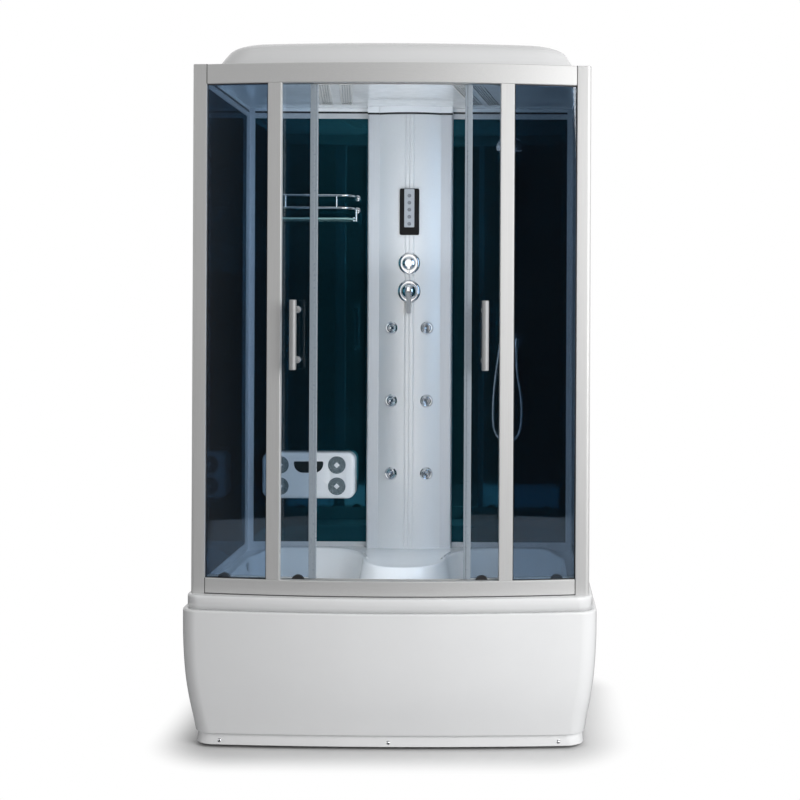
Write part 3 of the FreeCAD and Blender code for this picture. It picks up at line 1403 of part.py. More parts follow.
def massage_panel():
    """A moulded panel with soft edges, a deep slot and four round seats."""
    half, high = MASSAGE_WIDTH / 2, MASSAGE_HEIGHT / 2
    body = box(
        MASSAGE_X - half, MASSAGE_X + half, MASSAGE_FRONT_Y, BACK_PANE_Y, MASSAGE_Z - high, MASSAGE_Z + high
    )
    corners = [e for e in body.Edges if e.BoundBox.YLength > MASSAGE_DEPTH / 2]
    body = body.makeFillet(MASSAGE_CORNER, corners)
    rim = [e for e in body.Edges if e.BoundBox.YMax < MASSAGE_FRONT_Y + FIT]
    body = body.makeFillet(MASSAGE_EDGE, rim)
    seats = [disc(DISC_RADIUS + RUNNING, DISC_SUNK + OVERRUN, p - INWARD * OVERRUN, INWARD) for p in disc_places()]
    return body.cut(slot_solid()).cut(seats)


def massage_discs():
    """Four ribbed discs with a four-sided boss in the middle of each."""
    discs = []
    for place in disc_places():
        outline = [(0, -DISC_SUNK), (DISC_RADIUS, -DISC_SUNK), (DISC_RADIUS, DISC_RISE)]
        step = DISC_RADIUS / (2 * DISC_RIBS + 2)
        for rib in range(DISC_RIBS):
            outer = DISC_RADIUS - step * (2 * rib + 1)
            outline += [(outer, DISC_RISE), (outer, DISC_RISE / 2), (outer - step, DISC_RISE / 2), (outer - step, DISC_RISE)]
        outline.append((0, DISC_RISE))
        boss = step * 2
        front, back = place.y - 2 * DISC_RISE, place.y
        points = [
            Vector(place.x + boss, back, place.z),
            Vector(place.x, back, place.z + boss),
            Vector(place.x - boss, back, place.z),
            Vector(place.x, back, place.z - boss),
        ]
        diamond = Part.Face(Part.makePolygon(points + points[:1])).extrude(INWARD * (front - back))
        discs.append(spun(outline, place, -INWARD).fuse(diamond))
    return Part.makeCompound(discs)


# Ceiling and roof
CEILING_SHEET = 4.0
CEILING_INSET = 6.0
ROOF_SHEET = 4.0
ROOF_SIDE_INSET = 36.0
ROOF_BACK_INSET = 12.0
ROOF_CORNER = 110.0
ROOF_BOW = 44.0
ROOF_FRONT_GAP = 4.0
ROOF_SHARES = ((0.0, 0.0), (0.10, 0.20), (0.23, 0.43), (0.42, 0.71), (0.63, 0.86), (0.84, 0.94), (1.0, 0.97))
VENT_WIDTH = 43.0
VENT_LENGTH = 420.0
VENT_BACK_GAP = 120.0
VENT_XS = (-275.0, -201.0, 219.0, 280.0)
VENT_RISE = 3.0
VENT_FRAME = 5.0
VENT_SLOTS = 4
VENT_SLOT = 4.0

ROOF_LEAN = 0.22353 * CABIN_DEPTH
ROOF_HALF_WIDTH = FRAME_HALF_WIDTH - ROOF_SIDE_INSET
VENT_BACK_Y = BACK_Y - VENT_BACK_GAP
CEILING_BOTTOM = WALL_TOP
CEILING_TOP = WALL_TOP + CEILING_SHEET
ROOF_TOP = CEILING_TOP + ROOF_HEIGHT
ROOF_FRONT_Y = FRAME_FRONT_Y + RAIL_DEPTH + ROOF_FRONT_GAP
CEILING_FRONT_Y = FRAME_FRONT_Y + RAIL_DEPTH + FIT


def vent_box(x, grow, z0, z1):
    """The space of one ceiling vent, made larger by grow."""
    half = VENT_WIDTH / 2 + grow
    return box(x - half, x + half, VENT_BACK_Y - VENT_LENGTH - grow, VENT_BACK_Y + grow, z0, z1)


def ceiling_panel():
    """The flat ceiling on the wall rails, behind the top rail and the posts, with openings for the vents."""
    half = FRAME_HALF_WIDTH - CEILING_INSET
    plate = plan_prism(
        half, BOW_RISE, CEILING_FRONT_Y, BACK_Y - CEILING_INSET, CEILING_INSET, CEILING_INSET, CEILING_BOTTOM, CEILING_TOP
    )
    low, high = CEILING_BOTTOM - OVERRUN, CEILING_TOP + OVERRUN
    cuts = [bowed_bar(-OVERRUN, RAIL_DEPTH + FIT, low, high, -half, half)]
    for side in (-1, 1):
        inner, outer = side * (RAIL_HALF - FIT), side * (FRAME_HALF_WIDTH + OVERRUN)
        cuts.append(
            box(
                min(inner, outer),
                max(inner, outer),
                POST_FRONT_Y - OVERRUN,
                POST_BACK_Y + FIT,
                CEILING_BOTTOM - OVERRUN,
                CEILING_TOP + OVERRUN,
            )
        )
    for x in VENT_XS:
        cuts.append(vent_box(x, -VENT_FRAME, CEILING_BOTTOM - OVERRUN, CEILING_TOP + OVERRUN))
    return plate.cut(cuts)


def ceiling_vents():
    """Four slotted vents under the ceiling."""
    vents = []
    for x in VENT_XS:
        vent = vent_box(x, 0, CEILING_BOTTOM - VENT_RISE, CEILING_BOTTOM)
        pitch = (VENT_WIDTH - 2 * VENT_FRAME) / VENT_SLOTS
        for number in range(VENT_SLOTS):
            centre = x - VENT_WIDTH / 2 + VENT_FRAME + pitch * (number + 1 / 2)
            vent = vent.cut(
                box(
                    centre - VENT_SLOT / 2,
                    centre + VENT_SLOT / 2,
                    VENT_BACK_Y - VENT_LENGTH + 2 * VENT_FRAME,
                    VENT_BACK_Y - 2 * VENT_FRAME,
                    CEILING_BOTTOM - OVERRUN,
                    CEILING_BOTTOM + OVERRUN,
                )
            )
        vents.append(vent)
    return Part.makeCompound(vents)


def roof_solid(sheet):
    """The roof's outer form, or the space under its sheet."""
    plans = []
    base = CEILING_TOP - (OVERRUN if sheet else 0)
    for inset_share, height_share in ROOF_SHARES:
        inset = ROOF_LEAN * inset_share + sheet
        z = CEILING_TOP + ROOF_HEIGHT * height_share - sheet
        if height_share == 0:
            z = base
        plans.append(
            bowed_plan(
                ROOF_HALF_WIDTH - inset,
                ROOF_BOW,
                ROOF_FRONT_Y + inset,
                BACK_Y - ROOF_BACK_INSET - inset,
                ROOF_CORNER - sheet,
                ROOF_CORNER - sheet,
                z,
            )
        )
    return ruled(plans)


def roof_crown():
    """The shallow crown on the roof's flat middle."""
    inset = ROOF_LEAN
    low = CEILING_TOP + ROOF_HEIGHT * ROOF_SHARES[-1][1]
    plans = []
    for extra, z in ((0, low), (ROOF_LEAN / 3, ROOF_TOP)):
        plans.append(
            bowed_plan(
                ROOF_HALF_WIDTH - inset - extra,
                ROOF_BOW,
                ROOF_FRONT_Y + inset + extra,
                BACK_Y - ROOF_BACK_INSET - inset - extra,
                ROOF_CORNER - extra,
                ROOF_CORNER - extra,
                z,
            )
        )
    return ruled(plans)


def roof_dome():
    """The white roof, a thin shell with rolled shoulders on the ceiling."""
    return roof_solid(0).cut(roof_solid(ROOF_SHEET)).fuse(roof_crown())


# Hand shower set on the right back pane
BAR_X = 365.0
BAR_STANDOFF = 50.0
BAR_RADIUS = 10.0
BAR_BOTTOM = 1325.0
BAR_TOP = 1870.0
BRACKET_RADIUS = 18.0
BRACKET_HEIGHT = 6.0
BRACKET_NECK = 8.0
BRACKET_INSET = 14.0
SLIDER_Z = 1800.0
SLIDER_RADIUS = 17.0
SLIDER_HEIGHT = 40.0
TONGUE_REACH = 33.0
TONGUE_WIDTH = 8.0
TONGUE_ROUND = 10.0
EAR_WIDTH = 5.0
TILT_PIN = 3.0
SOCKET_REACH = 30.0
SOCKET_RADIUS = 17.0
SOCKET_LENGTH = 44.0
HANDSET_LEAN = 15.0
GRIP_RADIUS = 12.0
GRIP_FOOT = 50.0
GRIP_LENGTH = 205.0
COLLAR_RADIUS = 15.0
COLLAR_LENGTH = 6.0
HEAD_RADIUS = 47.0
HEAD_THICK = 22.0
HEAD_LEAN = 48.0
NUT_LENGTH = 18.0
NUT_WIDE = 10.0
OUTLET_X = 393.0
OUTLET_Z = 1262.0
OUTLET_ROSE = 25.0
OUTLET_ROSE_HEIGHT = 8.0
OUTLET_RADIUS = 10.0
OUTLET_REACH = 44.0

BAR_Y = BACK_PANE_Y - BAR_STANDOFF
PIVOT = Vector(BAR_X, BAR_Y - TONGUE_REACH, SLIDER_Z)
GRIP_AXIS = Vector(0, -math.sin(math.radians(HANDSET_LEAN)), math.cos(math.radians(HANDSET_LEAN)))
SOCKET_CENTRE = PIVOT - INWARD * SOCKET_REACH
GRIP_START = SOCKET_CENTRE - GRIP_AXIS * GRIP_FOOT
HOSE_TOP = GRIP_START - GRIP_AXIS * NUT_LENGTH
OUTLET_Y = BACK_PANE_Y - OUTLET_REACH
OUTLET_FOOT = Vector(OUTLET_X, OUTLET_Y, OUTLET_Z - OUTLET_ROSE)


def riser_bar():
    """The upright bar on two wall brackets."""
    bar = disc(BAR_RADIUS, BAR_TOP - BAR_BOTTOM, Vector(BAR_X, BAR_Y, BAR_BOTTOM), UP)
    for z in (BAR_BOTTOM + BRACKET_INSET, BAR_TOP - BRACKET_INSET):
        bar = bar.fuse(disc(BRACKET_NECK, BAR_STANDOFF, Vector(BAR_X, BAR_Y, z), INWARD))
        bar = bar.fuse(disc(BRACKET_RADIUS, BRACKET_HEIGHT, Vector(BAR_X, BACK_PANE_Y, z), -INWARD))
    return bar


def shower_slider():
    """The sleeve on the bar, with a round-nosed tongue for the holder's pin."""
    low = SLIDER_Z - SLIDER_HEIGHT / 2
    sleeve = disc(SLIDER_RADIUS, SLIDER_HEIGHT, Vector(BAR_X, BAR_Y, low), UP)
    half = TONGUE_WIDTH / 2
    nose = disc(TONGUE_ROUND, TONGUE_WIDTH, PIVOT - RIGHT * half, RIGHT)
    arm = box(BAR_X - half, BAR_X + half, PIVOT.y, BAR_Y, SLIDER_Z - TONGUE_ROUND, SLIDER_Z + TONGUE_ROUND)
    bore = disc(BAR_RADIUS + RUNNING, SLIDER_HEIGHT + 2 * OVERRUN, Vector(BAR_X, BAR_Y, low - OVERRUN), UP)
    pin_bore = disc(TILT_PIN + RUNNING, TONGUE_WIDTH + 2 * OVERRUN, PIVOT - RIGHT * (half + OVERRUN), RIGHT)
    return sleeve.fuse([nose, arm]).cut([bore, pin_bore])


def shower_holder():
    """The holder: a sleeve for the hand shower's grip, with two ears and the tilt pin."""
    half = TONGUE_WIDTH / 2 + FIT
    socket_start = SOCKET_CENTRE - GRIP_AXIS * (SOCKET_LENGTH / 2)
    socket = disc(SOCKET_RADIUS, SOCKET_LENGTH, socket_start, GRIP_AXIS)
    for x in (BAR_X - half - EAR_WIDTH, BAR_X + half):
        ear = disc(TONGUE_ROUND, EAR_WIDTH, Vector(x, PIVOT.y, PIVOT.z), RIGHT)
        web = box(x, x + EAR_WIDTH, SOCKET_CENTRE.y, PIVOT.y, PIVOT.z - TONGUE_ROUND, PIVOT.z + TONGUE_ROUND)
        socket = socket.fuse([ear, web])
    pin_length = 2 * (half + EAR_WIDTH)
    pin = disc(TILT_PIN, pin_length, PIVOT - RIGHT * (pin_length / 2), RIGHT)
    bore_start = socket_start - GRIP_AXIS * OVERRUN
    bore = disc(GRIP_RADIUS + RUNNING, SOCKET_LENGTH + 2 * OVERRUN, bore_start, GRIP_AXIS)
    return socket.fuse(pin).cut(bore)


def hand_shower():
    """The hand shower: nut, grip with a collar that stands on the holder, and round head."""
    seat = GRIP_FOOT + SOCKET_LENGTH / 2 + FIT
    outline = [
        (0, -NUT_LENGTH),
        (NUT_WIDE, -NUT_LENGTH),
        (NUT_WIDE, 0),
        (GRIP_RADIUS, 0),
        (GRIP_RADIUS, seat),
        (COLLAR_RADIUS, seat),
        (COLLAR_RADIUS, seat + COLLAR_LENGTH / 2),
        (GRIP_RADIUS, seat + COLLAR_LENGTH),
        (GRIP_RADIUS * 1.15, GRIP_LENGTH),
        (0, GRIP_LENGTH),
    ]
    grip = spun(outline, GRIP_START, GRIP_AXIS)
    neck = GRIP_START + GRIP_AXIS * GRIP_LENGTH
    lean = math.radians(HEAD_LEAN)
    face = Vector(0, -math.cos(lean), -math.sin(lean))
    head_outline = [
        (0, -HEAD_THICK),
        (HEAD_RADIUS * 0.45, -HEAD_THICK),
        (HEAD_RADIUS * 0.85, -HEAD_THICK * 0.55),
        (HEAD_RADIUS, -HEAD_THICK * 0.15),
        (HEAD_RADIUS, 0),
        (HEAD_RADIUS * 0.85, HEAD_THICK * 0.12),
        (0, HEAD_THICK * 0.12),
    ]
    head = spun(head_outline, neck + face * (HEAD_THICK / 2) + GRIP_AXIS * (HEAD_RADIUS * 0.35), face)
    return grip.fuse(head)


def wall_outlet():
    """The water outlet: a wall rose and an elbow that points down to the hose."""
    rose = disc(OUTLET_ROSE, OUTLET_ROSE_HEIGHT, Vector(OUTLET_X, BACK_PANE_Y, OUTLET_Z), -INWARD)
    arm = disc(OUTLET_RADIUS, OUTLET_REACH, Vector(OUTLET_X, BACK_PANE_Y, OUTLET_Z), -INWARD)
    knee = Part.makeSphere(OUTLET_RADIUS, Vector(OUTLET_X, OUTLET_Y, OUTLET_Z))
    drop = disc(OUTLET_RADIUS, OUTLET_Z - OUTLET_FOOT.z, OUTLET_FOOT, UP)
    return rose.fuse([arm, knee, drop])


# Hose, as points chosen along its route from the outlet to the hand shower
HOSE_RADIUS = 6.0
ARC_SHARE = 0.45
HOSE_LEAD = 58.0
HOSE_POINTS = [
    (399.0, 354.0, 1122.0),
    (411.0, 351.0, 1062.0),
    (414.5, 351.0, 995.0),
    (409.5, 350.0, 931.0),
    (392.5, 349.0, 901.6),
    (362.4, 347.5, 890.6),
    (332.3, 346.0, 901.6),
    (314.3, 344.0, 930.4),
    (308.5, 342.0, 975.0),
    (309.5, 339.0, 1040.0),
    (316.0, 334.0, 1120.0),
    (331.0, 326.0, 1222.0),
    (347.0, 317.0, 1345.0),
    (357.0, 313.5, 1470.0),
    (363.0, 315.0, 1585.0),
]


def hose_route():
    """The hose's corner points, from the outlet's foot to the hand shower's nut."""
    inner = [Vector(x, y, z) for x, y, z in HOSE_POINTS]
    return [OUTLET_FOOT, OUTLET_FOOT - UP * HOSE_LEAD] + inner + [HOSE_TOP - GRIP_AXIS * HOSE_LEAD, HOSE_TOP]


def shower_hose():
    """The hose as a tube of straight runs joined by arcs."""
    route = hose_route()
    edges = []
    radii = []
    length = 0.0
    last = route[0]
    for before, corner, after in zip(route, route[1:], route[2:]):
        to_corner, away = corner - before, after - corner
        trim = ARC_SHARE * min(to_corner.Length, away.Length)
        half_turn = to_corner.getAngle(away) / 2
        start = corner - to_corner.normalize() * trim
        end = corner + away.normalize() * trim
        radius = trim / math.tan(half_turn)
        radii.append(radius)
        bisector = ((start + end) * 0.5 - corner).normalize()
        middle = corner + bisector * (radius / math.cos(half_turn) - radius)
        edges.append(Part.LineSegment(last, start).toShape())
        edges.append(Part.Arc(start, middle, end).toShape())
        length += (start - last).Length + 2 * half_turn * radius
        last = end
    edges.append(Part.LineSegment(last, route[-1]).toShape())
    length += (route[-1] - last).Length
    path = Part.Wire(edges)
    along = (route[1] - route[0]).normalize()
    ring = Part.Wire([Part.Circle(route[0], along, HOSE_RADIUS).toShape()])
    tube = path.makePipeShell([ring], True, True)
    print("hose bend radii", [round(radius) for radius in radii])
    print("hose length", round(length, 1), "volume", round(tube.Volume), round(math.pi * HOSE_RADIUS**2 * length))
    return tube


def pairs():
    """The nodes that come as a right one and its mirror image."""
    return {
        "post": post_right,
        "fixed_glass": fixed_glass_right,
        "side_glass": side_glass_right,
        "back_glass": back_glass_right,
        "door_glass": door_glass_right,
        "door_edge": door_edge_right,
        "door_handle": door_handle_right,
        "door_carriers": door_carriers_right,
    }


def singles():
    """The nodes that come once."""
    return {
        "bath_tub": bath_tub,
        "front_skirt": front_skirt,
        "skirt_screws": skirt_screws,
        "tub_frame": tub_frame,
        "waste_and_overflow": waste_and_overflow,
        "top_rail": top_rail,
        "bottom_rail": bottom_rail,
        "mullions": mullions,
        "wall_profiles": wall_profiles,
        "control_column": control_column,
        "control_panel": control_panel,
        "mixer_valve": mixer_valve,
        "diverter_knob": diverter_knob,
        "mixer_cap": mixer_cap,
        "mixer_lever": mixer_lever,
        "jet_housings": jet_housings,
        "shelf_rack": shelf_rack,
        "shelf_glass": shelf_glass,
        "massage_panel": massage_panel,
        "massage_discs": massage_discs,
        "ceiling_panel": ceiling_panel,
        "ceiling_vents": ceiling_vents,
        "roof_dome": roof_dome,
        "riser_bar": riser_bar,
        "shower_slider": shower_slider,
        "shower_holder": shower_holder,
        "hand_shower": hand_shower,
        "wall_outlet": wall_outlet,
        "shower_hose": shower_hose,
    }


def build():
    """Every node by name."""
    nodes = {name: make() for name, make in singles().items()}
    for name, make in pairs().items():
        right = make()
        nodes[name + "_right"] = right
        nodes[name + "_left"] = mirrored(right)
    for place, x in zip(("inner", "outer"), CARRIER_X):
        wheel = door_wheel(x)
        nodes["wheel_right_" + place] = wheel
        nodes["wheel_left_" + place] = mirrored(wheel)
    for number in range(KEY_COUNT):
        nodes[f"key_{number + 1}"] = key(number)
    for number in range(len(jet_places())):
        nodes[f"jet_nozzle_{number + 1}"] = jet_nozzle(number)
    return nodes


def main():
    os.makedirs("parts", exist_ok=True)
    nodes = build()
    for name, shape in nodes.items():
        if not shape.isValid() or not shape.Solids:
            raise ValueError(f"{name} isn't a valid solid")
        shape.exportStep(f"parts/{name}.step")
    print(len(nodes), "nodes")


main()
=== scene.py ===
import json
import math

import bmesh
import bpy
import numpy as np
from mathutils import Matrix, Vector
from mathutils.geometry import delaunay_2d_cdt

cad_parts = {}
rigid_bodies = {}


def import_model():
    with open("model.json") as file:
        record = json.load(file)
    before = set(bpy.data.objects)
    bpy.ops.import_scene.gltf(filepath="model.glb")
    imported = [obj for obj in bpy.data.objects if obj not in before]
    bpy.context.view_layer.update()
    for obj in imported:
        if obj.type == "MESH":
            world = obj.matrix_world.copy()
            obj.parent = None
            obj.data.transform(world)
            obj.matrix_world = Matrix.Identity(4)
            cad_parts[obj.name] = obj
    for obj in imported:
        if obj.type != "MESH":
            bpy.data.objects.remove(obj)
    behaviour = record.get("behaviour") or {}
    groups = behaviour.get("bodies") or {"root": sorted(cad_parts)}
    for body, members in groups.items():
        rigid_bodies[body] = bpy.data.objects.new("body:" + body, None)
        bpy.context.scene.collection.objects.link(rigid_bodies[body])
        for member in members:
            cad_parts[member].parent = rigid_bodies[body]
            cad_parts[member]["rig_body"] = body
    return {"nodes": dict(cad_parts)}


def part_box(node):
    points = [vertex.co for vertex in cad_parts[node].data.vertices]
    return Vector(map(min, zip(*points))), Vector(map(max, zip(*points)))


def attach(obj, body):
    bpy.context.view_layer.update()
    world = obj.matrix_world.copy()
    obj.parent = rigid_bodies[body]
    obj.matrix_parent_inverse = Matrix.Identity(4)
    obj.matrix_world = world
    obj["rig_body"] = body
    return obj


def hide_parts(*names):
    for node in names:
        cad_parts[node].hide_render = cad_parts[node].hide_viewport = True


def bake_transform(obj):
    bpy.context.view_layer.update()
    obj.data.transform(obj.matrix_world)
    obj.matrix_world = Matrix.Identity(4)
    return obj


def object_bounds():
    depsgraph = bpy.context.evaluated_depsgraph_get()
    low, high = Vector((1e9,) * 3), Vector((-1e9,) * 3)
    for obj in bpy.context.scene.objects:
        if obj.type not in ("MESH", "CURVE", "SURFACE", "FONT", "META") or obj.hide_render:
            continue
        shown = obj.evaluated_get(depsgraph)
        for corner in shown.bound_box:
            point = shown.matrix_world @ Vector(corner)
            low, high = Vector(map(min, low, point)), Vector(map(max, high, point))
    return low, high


# Looks of a steam shower cabin on a deep bath tub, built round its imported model.
# Metres, +Z up, +X to the right of someone who stands before the doors and +Y to the back.

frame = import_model()
cad_low, cad_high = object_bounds()
nodes = frame["nodes"]

# Front frame: the rails, the panes and the doors share one upright axis, the centre of the bow
RAIL_HALF = 0.582
BOW_RISE = 0.046
FRAME_FRONT_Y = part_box("top_rail")[0].y
BOW_RADIUS = (RAIL_HALF**2 + BOW_RISE**2) / (2 * BOW_RISE)
BOW_CENTRE_Y = FRAME_FRONT_Y + BOW_RADIUS
BACK_Y = cad_high.y
RIM_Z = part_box("bath_tub")[1].z
UP = (0.0, 0.0, 1.0)
RIGHT = (1.0, 0.0, 0.0)
OUT = (0.0, -1.0, 0.0)


# Camera, at the photograph's place
CAMERA_PLACE = (0.395, -4.354, 1.368)
CAMERA_ROLL = -0.0047
CAMERA_LENS = 57.65
IMAGE_SIDE = 800
LEVEL_POINT_PX = (517.0, 311.8)


def place_camera():
    """A level camera; the lens shift puts the point it looks at where the photograph has it."""
    camera = bpy.data.cameras.new("camera")
    camera.lens = CAMERA_LENS
    camera.shift_x = (IMAGE_SIDE / 2 - LEVEL_POINT_PX[0]) / IMAGE_SIDE
    camera.shift_y = (LEVEL_POINT_PX[1] - IMAGE_SIDE / 2) / IMAGE_SIDE
    holder = bpy.data.objects.new("camera", camera)
    holder.location = CAMERA_PLACE
    holder.rotation_euler = (math.pi / 2, CAMERA_ROLL, 0)
    bpy.context.scene.collection.objects.link(holder)
    bpy.context.scene.camera = holder


place_camera()


# Shapes as arrays of points


def unit(vectors):
    """Vectors made one long."""
    vectors = np.asarray(vectors, float)
    return vectors / np.maximum(np.linalg.norm(vectors, axis=-1, keepdims=True), 1e-12)


def rounded(outline, radius, steps=5, ring=True):
    """An outline with its corners as arcs: the rational curve between the two tangent points, with the
    corner weighted by the sine of half its angle, is a true arc of the radius."""
    points = np.asarray(outline, float)
    radius = np.broadcast_to(np.asarray(radius, float), len(points))
    before, after = np.roll(points, 1, 0) - points, np.roll(points, -1, 0) - points
    room = 0.49 * np.minimum(np.linalg.norm(before, axis=1), np.linalg.norm(after, axis=1))
    before, after = unit(before), unit(after)
    half = np.arccos(np.clip((before * after).sum(1), -1, 1)) / 2
    trim = np.minimum(radius / np.maximum(np.tan(half), 1e-9), room)[:, None]
    if not ring:
        trim[[0, -1]] = 0
    t = np.linspace(0, 1, steps + 1)[None, :, None]
    weights = ((1 - t) ** 2, 2 * np.sin(half)[:, None, None] * t * (1 - t), t**2)
    corners = ((points + before * trim)[:, None], points[:, None], (points + after * trim)[:, None])
    arcs = sum(w * c for w, c in zip(weights, corners)) / sum(weights)
    if ring:
        return arcs.reshape(-1, 2)
    return np.concatenate([points[:1], arcs[1:-1].reshape(-1, 2), points[-1:]])


def through(table, count):
    """A smooth curve through the table's points: cubic pieces whose slope at a point is half the step
    between its neighbours."""
    points = np.asarray(table, float)
    ends = np.concatenate([2 * points[:1] - points[1:2], points, 2 * points[-1:] - points[-2:-1]])
    slope = (ends[2:] - ends[:-2]) / 2
    place = np.linspace(0, len(points) - 1, count)
    index = np.minimum(place.astype(int), len(points) - 2)
    t = (place - index)[:, None]
    start, end = points[index], points[index + 1]
    return (
        (2 * t**3 - 3 * t**2 + 1) * start
        + (t**3 - 2 * t**2 + t) * slope[index]
        + (3 * t**2 - 2 * t**3) * end
        + (t**3 - t**2) * slope[index + 1]
    )


def circle(radius, count):
    """A circle of points."""
    angle = np.arange(count) * 2 * np.pi / count
    return radius * np.stack([np.cos(angle), np.sin(angle)], 1)


def turned(outline, origin, axis, count=40):
    """A lathe form: origin + axis * along + radius * (cos t * side + sin t * across)."""
    outline = np.asarray(outline, float)
    axis = unit(axis)
    side = np.cross(axis, RIGHT if abs(axis[0]) < 0.5 else UP)
    side = unit(side)
    across = np.cross(axis, side)
    ring = circle(1.0, count)
    spokes = ring[:, :1] * side + ring[:, 1:] * across
    return np.asarray(origin) + outline[:, None, 1:] * axis + outline[:, None, :1] * spokes[None]


def carried(section, path, across, up):
    """A section carried along a path: path + section x * across + section y * up."""
    section = np.asarray(section, float)
    across, up = np.broadcast_to(across, path.shape), np.broadcast_to(up, path.shape)
    return path[:, None] + section[None, :, :1] * across[:, None] + section[None, :, 1:] * up[:, None]


def tube(path, radius, count=14, up=UP):
    """A round tube along a path, its ring square to the path and measured from up."""
    path = np.asarray(path, float)
    along = unit(np.gradient(path, axis=0))
    across = unit(np.cross(along, up))
    return carried(circle(1.0, count) * radius, path, across, np.cross(across, along))


def rectangle(x0, x1, y0, y1):
    """The four corners of a rectangle, in turn."""
    return [(x0, y0), (x1, y0), (x1, y1), (x0, y1)]


def rod(radius, low, high):
    """The outline of a plain rod for a lathe form."""
    return [(0, low), (radius, low), (radius, high), (0, high)]


def lathe(outline, rounding, steps, origin, axis, count):
    """A lathe form whose outline has rounded corners."""
    return turned(rounded(outline, rounding, steps, ring=False), origin, axis, count)


def upright(plan, low, high):
    """A plan as its two rings, at its bottom and its top."""
    return np.stack([at_height(plan, low), at_height(plan, high)])


def facing(outline, y):
    """An outline of (x, z) as points of the upright plane at y."""
    return np.column_stack([outline[:, 0], np.full(len(outline), y), outline[:, 1]])


def bow_point(depth, x, z=0.0):
    """The point at a depth behind the frame's front, x to the right on its front."""
    angle = np.arcsin(x / BOW_RADIUS)
    radius = BOW_RADIUS - depth
    return np.array([radius * np.sin(angle), BOW_CENTRE_Y - radius * np.cos(angle), z])


def bow_inward(x):
    """The level direction from the bow at x to its centre."""
    angle = np.arcsin(x / BOW_RADIUS)
    return np.array([-np.sin(angle), np.cos(angle), 0.0])


def bowed(section, x0, x1, steps=40):
    """A section of (depth, z) carried round the bow from x0 to x1."""
    angle = np.linspace(np.arcsin(x0 / BOW_RADIUS), np.arcsin(x1 / BOW_RADIUS), steps + 1)
    across = np.stack([-np.sin(angle), np.cos(angle), 0 * angle], 1)
    centre = np.array([0.0, BOW_CENTRE_Y, 0.0])
    return carried(section, centre - BOW_RADIUS * across, across, UP)


def arc(centre, radius, start, end, count):
    """Points of an arc; angles in radians from +X."""
    angle = np.linspace(start, end, count)
    return np.column_stack([centre[0] + radius * np.cos(angle), centre[1] + radius * np.sin(angle)])


def line(start, end, count):
    """Points of a straight run."""
    t = np.linspace(0, 1, count)[:, None]
    return np.asarray(start) * (1 - t) + np.asarray(end) * t


FRONT_POINTS = 40
BEND_POINTS = 14
BACK_POINTS = 20


def half_front(half, bow, front_y, corner, side_y):
    """The right half of a bowed plan's front: bow, corner and side, to side_y."""
    radius = (half**2 + bow**2) / (2 * bow)
    centre_y = front_y + radius
    inner_x = half - corner
    corner_y = centre_y - math.sqrt((radius - corner) ** 2 - inner_x**2)
    lean = math.atan2(inner_x, centre_y - corner_y)
    front = arc((0, centre_y), radius, -math.pi / 2, lean - math.pi / 2, FRONT_POINTS)
    bend = arc((inner_x, corner_y), corner, lean - math.pi / 2, 0, BEND_POINTS)
    side = line((half, corner_y), (half, side_y), BEND_POINTS)
    return np.concatenate([front, bend[1:], side[1:]])


def half_plan(half, bow, front_y, back_y, corner, back_corner):
    """The right half of a closed bowed plan, from the middle of its front to the middle of its back."""
    front = half_front(half, bow, front_y, corner, back_y - back_corner)
    bend = arc((half - back_corner, back_y - back_corner), back_corner, 0, math.pi / 2, BEND_POINTS)
    back = line((half - back_corner, back_y), (0, back_y), BACK_POINTS)
    return np.concatenate([front, bend[1:], back[1:]])


def whole(half, ring):
    """A half plan with its mirror image, as a closed ring or as an open run from back to back."""
    mirror = half * (-1, 1)
    if ring:
        return np.concatenate([half, mirror[-2:0:-1]])
    return np.concatenate([mirror[:0:-1], half])


def at_height(plan, z):
    """A plan as points at one height."""
    return np.column_stack([plan, np.full(len(plan), z)])


# Meshes and pieces
MERGE_DISTANCE = 2e-6
POINT_SIZE = 1e-5
EDGE_ANGLE = 32.0


def quads(rows, columns, ring):
    """A grid's faces, row by row, closed round each row where it is a ring."""
    row = np.arange(rows - 1)[:, None]
    column = np.arange(columns if ring else columns - 1)[None, :]
    after = (column + 1) % columns
    near, far = row * columns, (row + 1) * columns
    faces = np.broadcast_arrays(near + column, near + after, far + after, far + column)
    return np.stack(faces, -1).reshape(-1, 4)


def grid_mesh(name, grids, ring=True, caps=True, sharp=EDGE_ANGLE):
    """One mesh of grids of points, its rings closed at both ends, doubles merged and faces turned outward."""
    points, faces, start = [], [], 0
    for grid in grids:
        rows, columns = grid.shape[:2]
        points.append(grid.reshape(-1, 3))
        faces += (quads(rows, columns, ring) + start).tolist()
        if ring and caps:
            for row in (0, rows - 1):
                if np.ptp(grid[row], axis=0).max() > POINT_SIZE:
                    faces.append(list(range(start + row * columns, start + (row + 1) * columns)))
        start += rows * columns
    mesh = bpy.data.meshes.new(name)
    mesh.from_pydata(np.concatenate(points).tolist(), [], faces)
    tidy(mesh, sharp)
    return mesh


